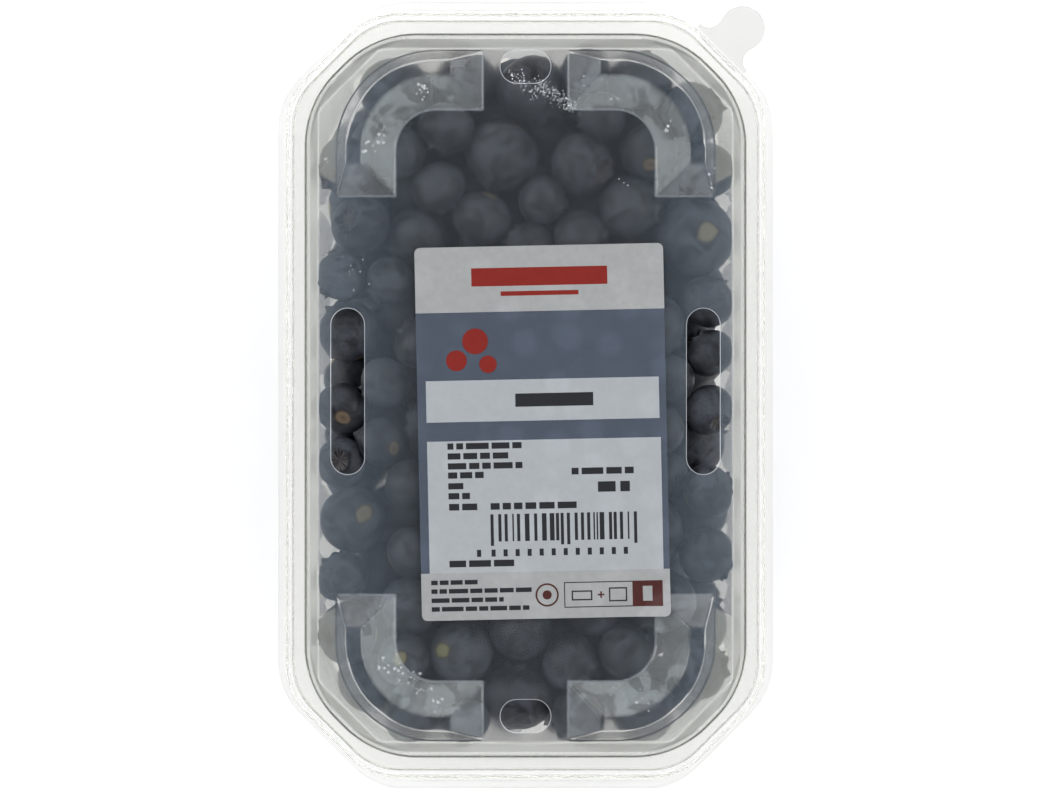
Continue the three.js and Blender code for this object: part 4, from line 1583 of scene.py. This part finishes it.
@dataclass
class Condensation:
    """Beads of water on the lid: a fine patch, and larger beads on the lugs' slopes."""

    seed: int = 11
    around: int = 12
    rings: int = 5
    height: float = 0.8
    size: float = 0.6
    sink: float = 0.01
    patches: tuple[tuple[float, ...], ...] = (
        (3.0, 75.0, 11.5, 69.5, 2.0, 240, 0.16, 0.36), (-3.5, 78.0, 3.0, 72.0, 2.0, 110, 0.14, 0.32),
        (-25.0, 74.0, -24.0, 72.8, 1.6, 14, 0.25, 0.75), (-34.5, 62.5, -38.0, 59.0, 2.6, 16, 0.25, 0.8),
        (-36.5, -63.0, -20.0, -74.0, 2.8, 46, 0.22, 0.7), (33.5, 66.5, 35.0, 63.0, 1.6, 6, 0.3, 0.95),
        (26.0, 70.0, 14.0, 76.0, 2.4, 14, 0.2, 0.5), (44.5, 50.0, 45.5, 56.0, 1.0, 7, 0.25, 0.6),
        (-49.0, 52.0, -48.0, 58.0, 0.8, 4, 0.3, 0.8), (22.0, -71.0, 30.0, -74.0, 2.5, 14, 0.2, 0.55),
        (-45.0, 32.0, -40.0, 26.0, 4.0, 22, 0.16, 0.4), (24.0, 52.0, 22.0, 50.0, 1.5, 3, 0.3, 0.8),
    )

    def build(self, lid: Lid) -> Piece:
        """Make the beads, each a low dome that lies on the lid.

        A patch is a line between two points with a spread about it. A bead's ring at share t
        has radius sin(90 t) and rises by the height times cos(90 t).

        Args:
            lid: The lid they lie on.

        Returns:
            The piece.
        """
        chance = np.random.default_rng(self.seed)
        x, y, radius = [], [], []
        for x0, y0, x1, y1, spread, count, least, most in self.patches:
            along = chance.uniform(0, 1, count)
            x.append(x0 + (x1 - x0) * along + chance.normal(0, spread / 2, count))
            y.append(y0 + (y1 - y0) * along + chance.normal(0, spread / 2, count))
            radius.append(least + (most - least) * chance.uniform(0, 1, count) ** 2.2)
        x, y, radius = (np.concatenate(parts) for parts in (x, y, radius))
        radius *= self.size
        share = np.linspace(0, 1, self.rings + 1)[1:]
        turn = full_turn(self.around)
        wide = np.sin(share * math.pi / 2)
        deep = -self.height * np.cos(share * math.pi / 2)
        cap_x = np.concatenate([[0], (wide[:, None] * np.cos(turn)).ravel(), [0]])
        cap_y = np.concatenate([[0], (wide[:, None] * np.sin(turn)).ravel(), [0]])
        cap_z = np.concatenate([[-self.height], np.repeat(deep, self.around), [0]])
        here = np.arange(self.around)
        after = (here + 1) % self.around
        peak = np.stack([np.zeros(self.around, int), here + 1, after + 1], axis=1)
        quads = grid_faces(self.rings, self.around)[:, ::-1] + 1
        flat = (self.rings - 1) * self.around + 1
        base = np.stack([np.full(self.around, len(cap_x) - 1), flat + after, flat + here], axis=1)
        bead = np.concatenate([peak, halved(quads), base])
        points_x = x[:, None] + radius[:, None] * cap_x
        points_y = y[:, None] + radius[:, None] * cap_y
        upper = PANEL_TOP + lid.lug_height(points_x, points_y, 0.0)
        points_z = upper - self.sink - radius[:, None] * cap_z
        points = np.stack([points_x, points_y, points_z], axis=2).reshape(-1, 3)
        faces = repeated(bead, len(cap_x), len(x))
        piece = object_from("condensation_beads", points, faces, [WaterDrop().build()])
        return piece


@dataclass
class Studio:
    """A plain pale floor, soft light all round that is darker overhead, and the camera."""

    photo: tuple[int, int] = (1054, 788)
    mm_per_pixel: float = 0.2405
    middle: tuple[float, float] = (525.5, 395.5)
    distance: float = 1300.0
    sensor: float = 36.0
    horizon: float = 1.6
    middle_sky: float = 0.8
    overhead: float = 0.32
    floor_reach: float = 2500.0
    floor_depth: float = 0.02
    floor_glow: float = 0.36

    def camera(self) -> Piece:
        """Set the camera straight above, framed as the photograph.

        The frame's width at the height of the lid's band is the photograph's, and the lens is
        the sensor times the distance over that width.

        Returns:
            The camera.
        """
        width = self.photo[0] * self.mm_per_pixel
        data = bpy.data.cameras.new("camera")
        data.sensor_width = self.sensor
        data.lens = self.sensor * self.distance / width
        data.clip_end = 10.0
        camera = bpy.data.objects.new("camera", data)
        across = (self.photo[0] / 2 - self.middle[0]) * self.mm_per_pixel
        along = (self.middle[1] - self.photo[1] / 2) * self.mm_per_pixel
        camera.location = (across * MM, along * MM, (BAND_TOP + self.distance) * MM)
        bpy.context.scene.collection.objects.link(camera)
        bpy.context.scene.camera = camera
        return camera

    def world(self) -> None:
        """Light the scene from a pale surround: bright near the horizon, dimmer overhead."""
        world = bpy.data.worlds.new("soft_surround")
        world.use_nodes = True
        tree = world.node_tree
        tree.nodes.clear()
        way = add_node(tree, "TexCoord", out="Generated")
        up = add_node(tree, "SeparateXYZ", (way,), "Z")
        sky, glow = (
            add_node(tree, "MapRange", (up, *ends), interpolation_type="SMOOTHSTEP")
            for ends in (
                (0.35, 0.98, self.middle_sky, self.overhead),
                (0.1, 0.5, self.horizon - self.overhead, 0.0),
            )
        )
        level = add_node(tree, "Math", (sky, glow), operation="ADD")
        light = add_node(tree, "Background", {"Color": linear("#fbfcff"), "Strength": level})
        add_node(tree, "OutputWorld", {"Surface": light})
        bpy.context.scene.world = world

    def lamps(self) -> None:
        """Set two large soft lamps at the sides and a smaller one towards the far end."""
        for name, place, size, power in (
            ("lamp_left", (-1.1, 0.25, 0.95), 0.55, 3.6), ("lamp_right", (1.1, 0.1, 0.95), 0.55, 3.2),
            ("lamp_far", (0.1, 1.25, 0.8), 0.7, 1.6),
        ):
            data = bpy.data.lights.new(name, "AREA")
            data.shape = "SQUARE"
            data.size = size
            data.energy = power
            lamp = bpy.data.objects.new(name, data)
            lamp.location = place
            aim = -np.array(place)
            yaw = math.atan2(aim[1], aim[0]) - math.pi / 2
            tilt = math.atan2(math.hypot(aim[0], aim[1]), -aim[2])
            lamp.rotation_euler = (tilt, 0, yaw)
            bpy.context.scene.collection.objects.link(lamp)

    def floor(self) -> Piece:
        """Lay the floor: a wide plain square, a hair under the ground."""
        grid = np.linspace(-self.floor_reach, self.floor_reach, 9)
        x, y = np.meshgrid(grid, grid)
        points = at_height(np.stack([x.ravel(), y.ravel()], axis=1), -self.floor_depth)
        quads = sheet_faces(np.arange(x.size).reshape(x.shape)).reshape(-1, 4)
        board = PlainMatt("floor_white_board", "#ffffff", self.floor_glow).build()
        floor = object_from("floor", points, quads, [board])
        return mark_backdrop(floor)

    def build(self) -> None:
        """Set the camera, the light and the floor."""
        self.camera()
        self.world()
        self.lamps()
        self.floor()
        scene = bpy.context.scene
        scene.view_settings.view_transform = "Standard"
        bounces = {"transmission_bounces": 24, "glossy_bounces": 24, "diffuse_bounces": 4}
        for name, value in {"max_bounces": 32, "transparent_max_bounces": 24, **bounces}.items():
            setattr(scene.cycles, name, value)


def main() -> None:
    """Load the model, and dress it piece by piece."""
    logging.basicConfig(level=logging.INFO, format="%(name)s: %(message)s")
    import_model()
    Studio().build()
    lid = Lid()
    pieces = [Tray().build(), lid.build(), *Label().build(), *Berries().build()]
    pieces.append(Condensation().build(lid))
    for piece in pieces:
        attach(piece, "root")
        log.info("%s: %d faces", piece.name, len(piece.data.polygons))


if __name__ == "__main__":
    main()
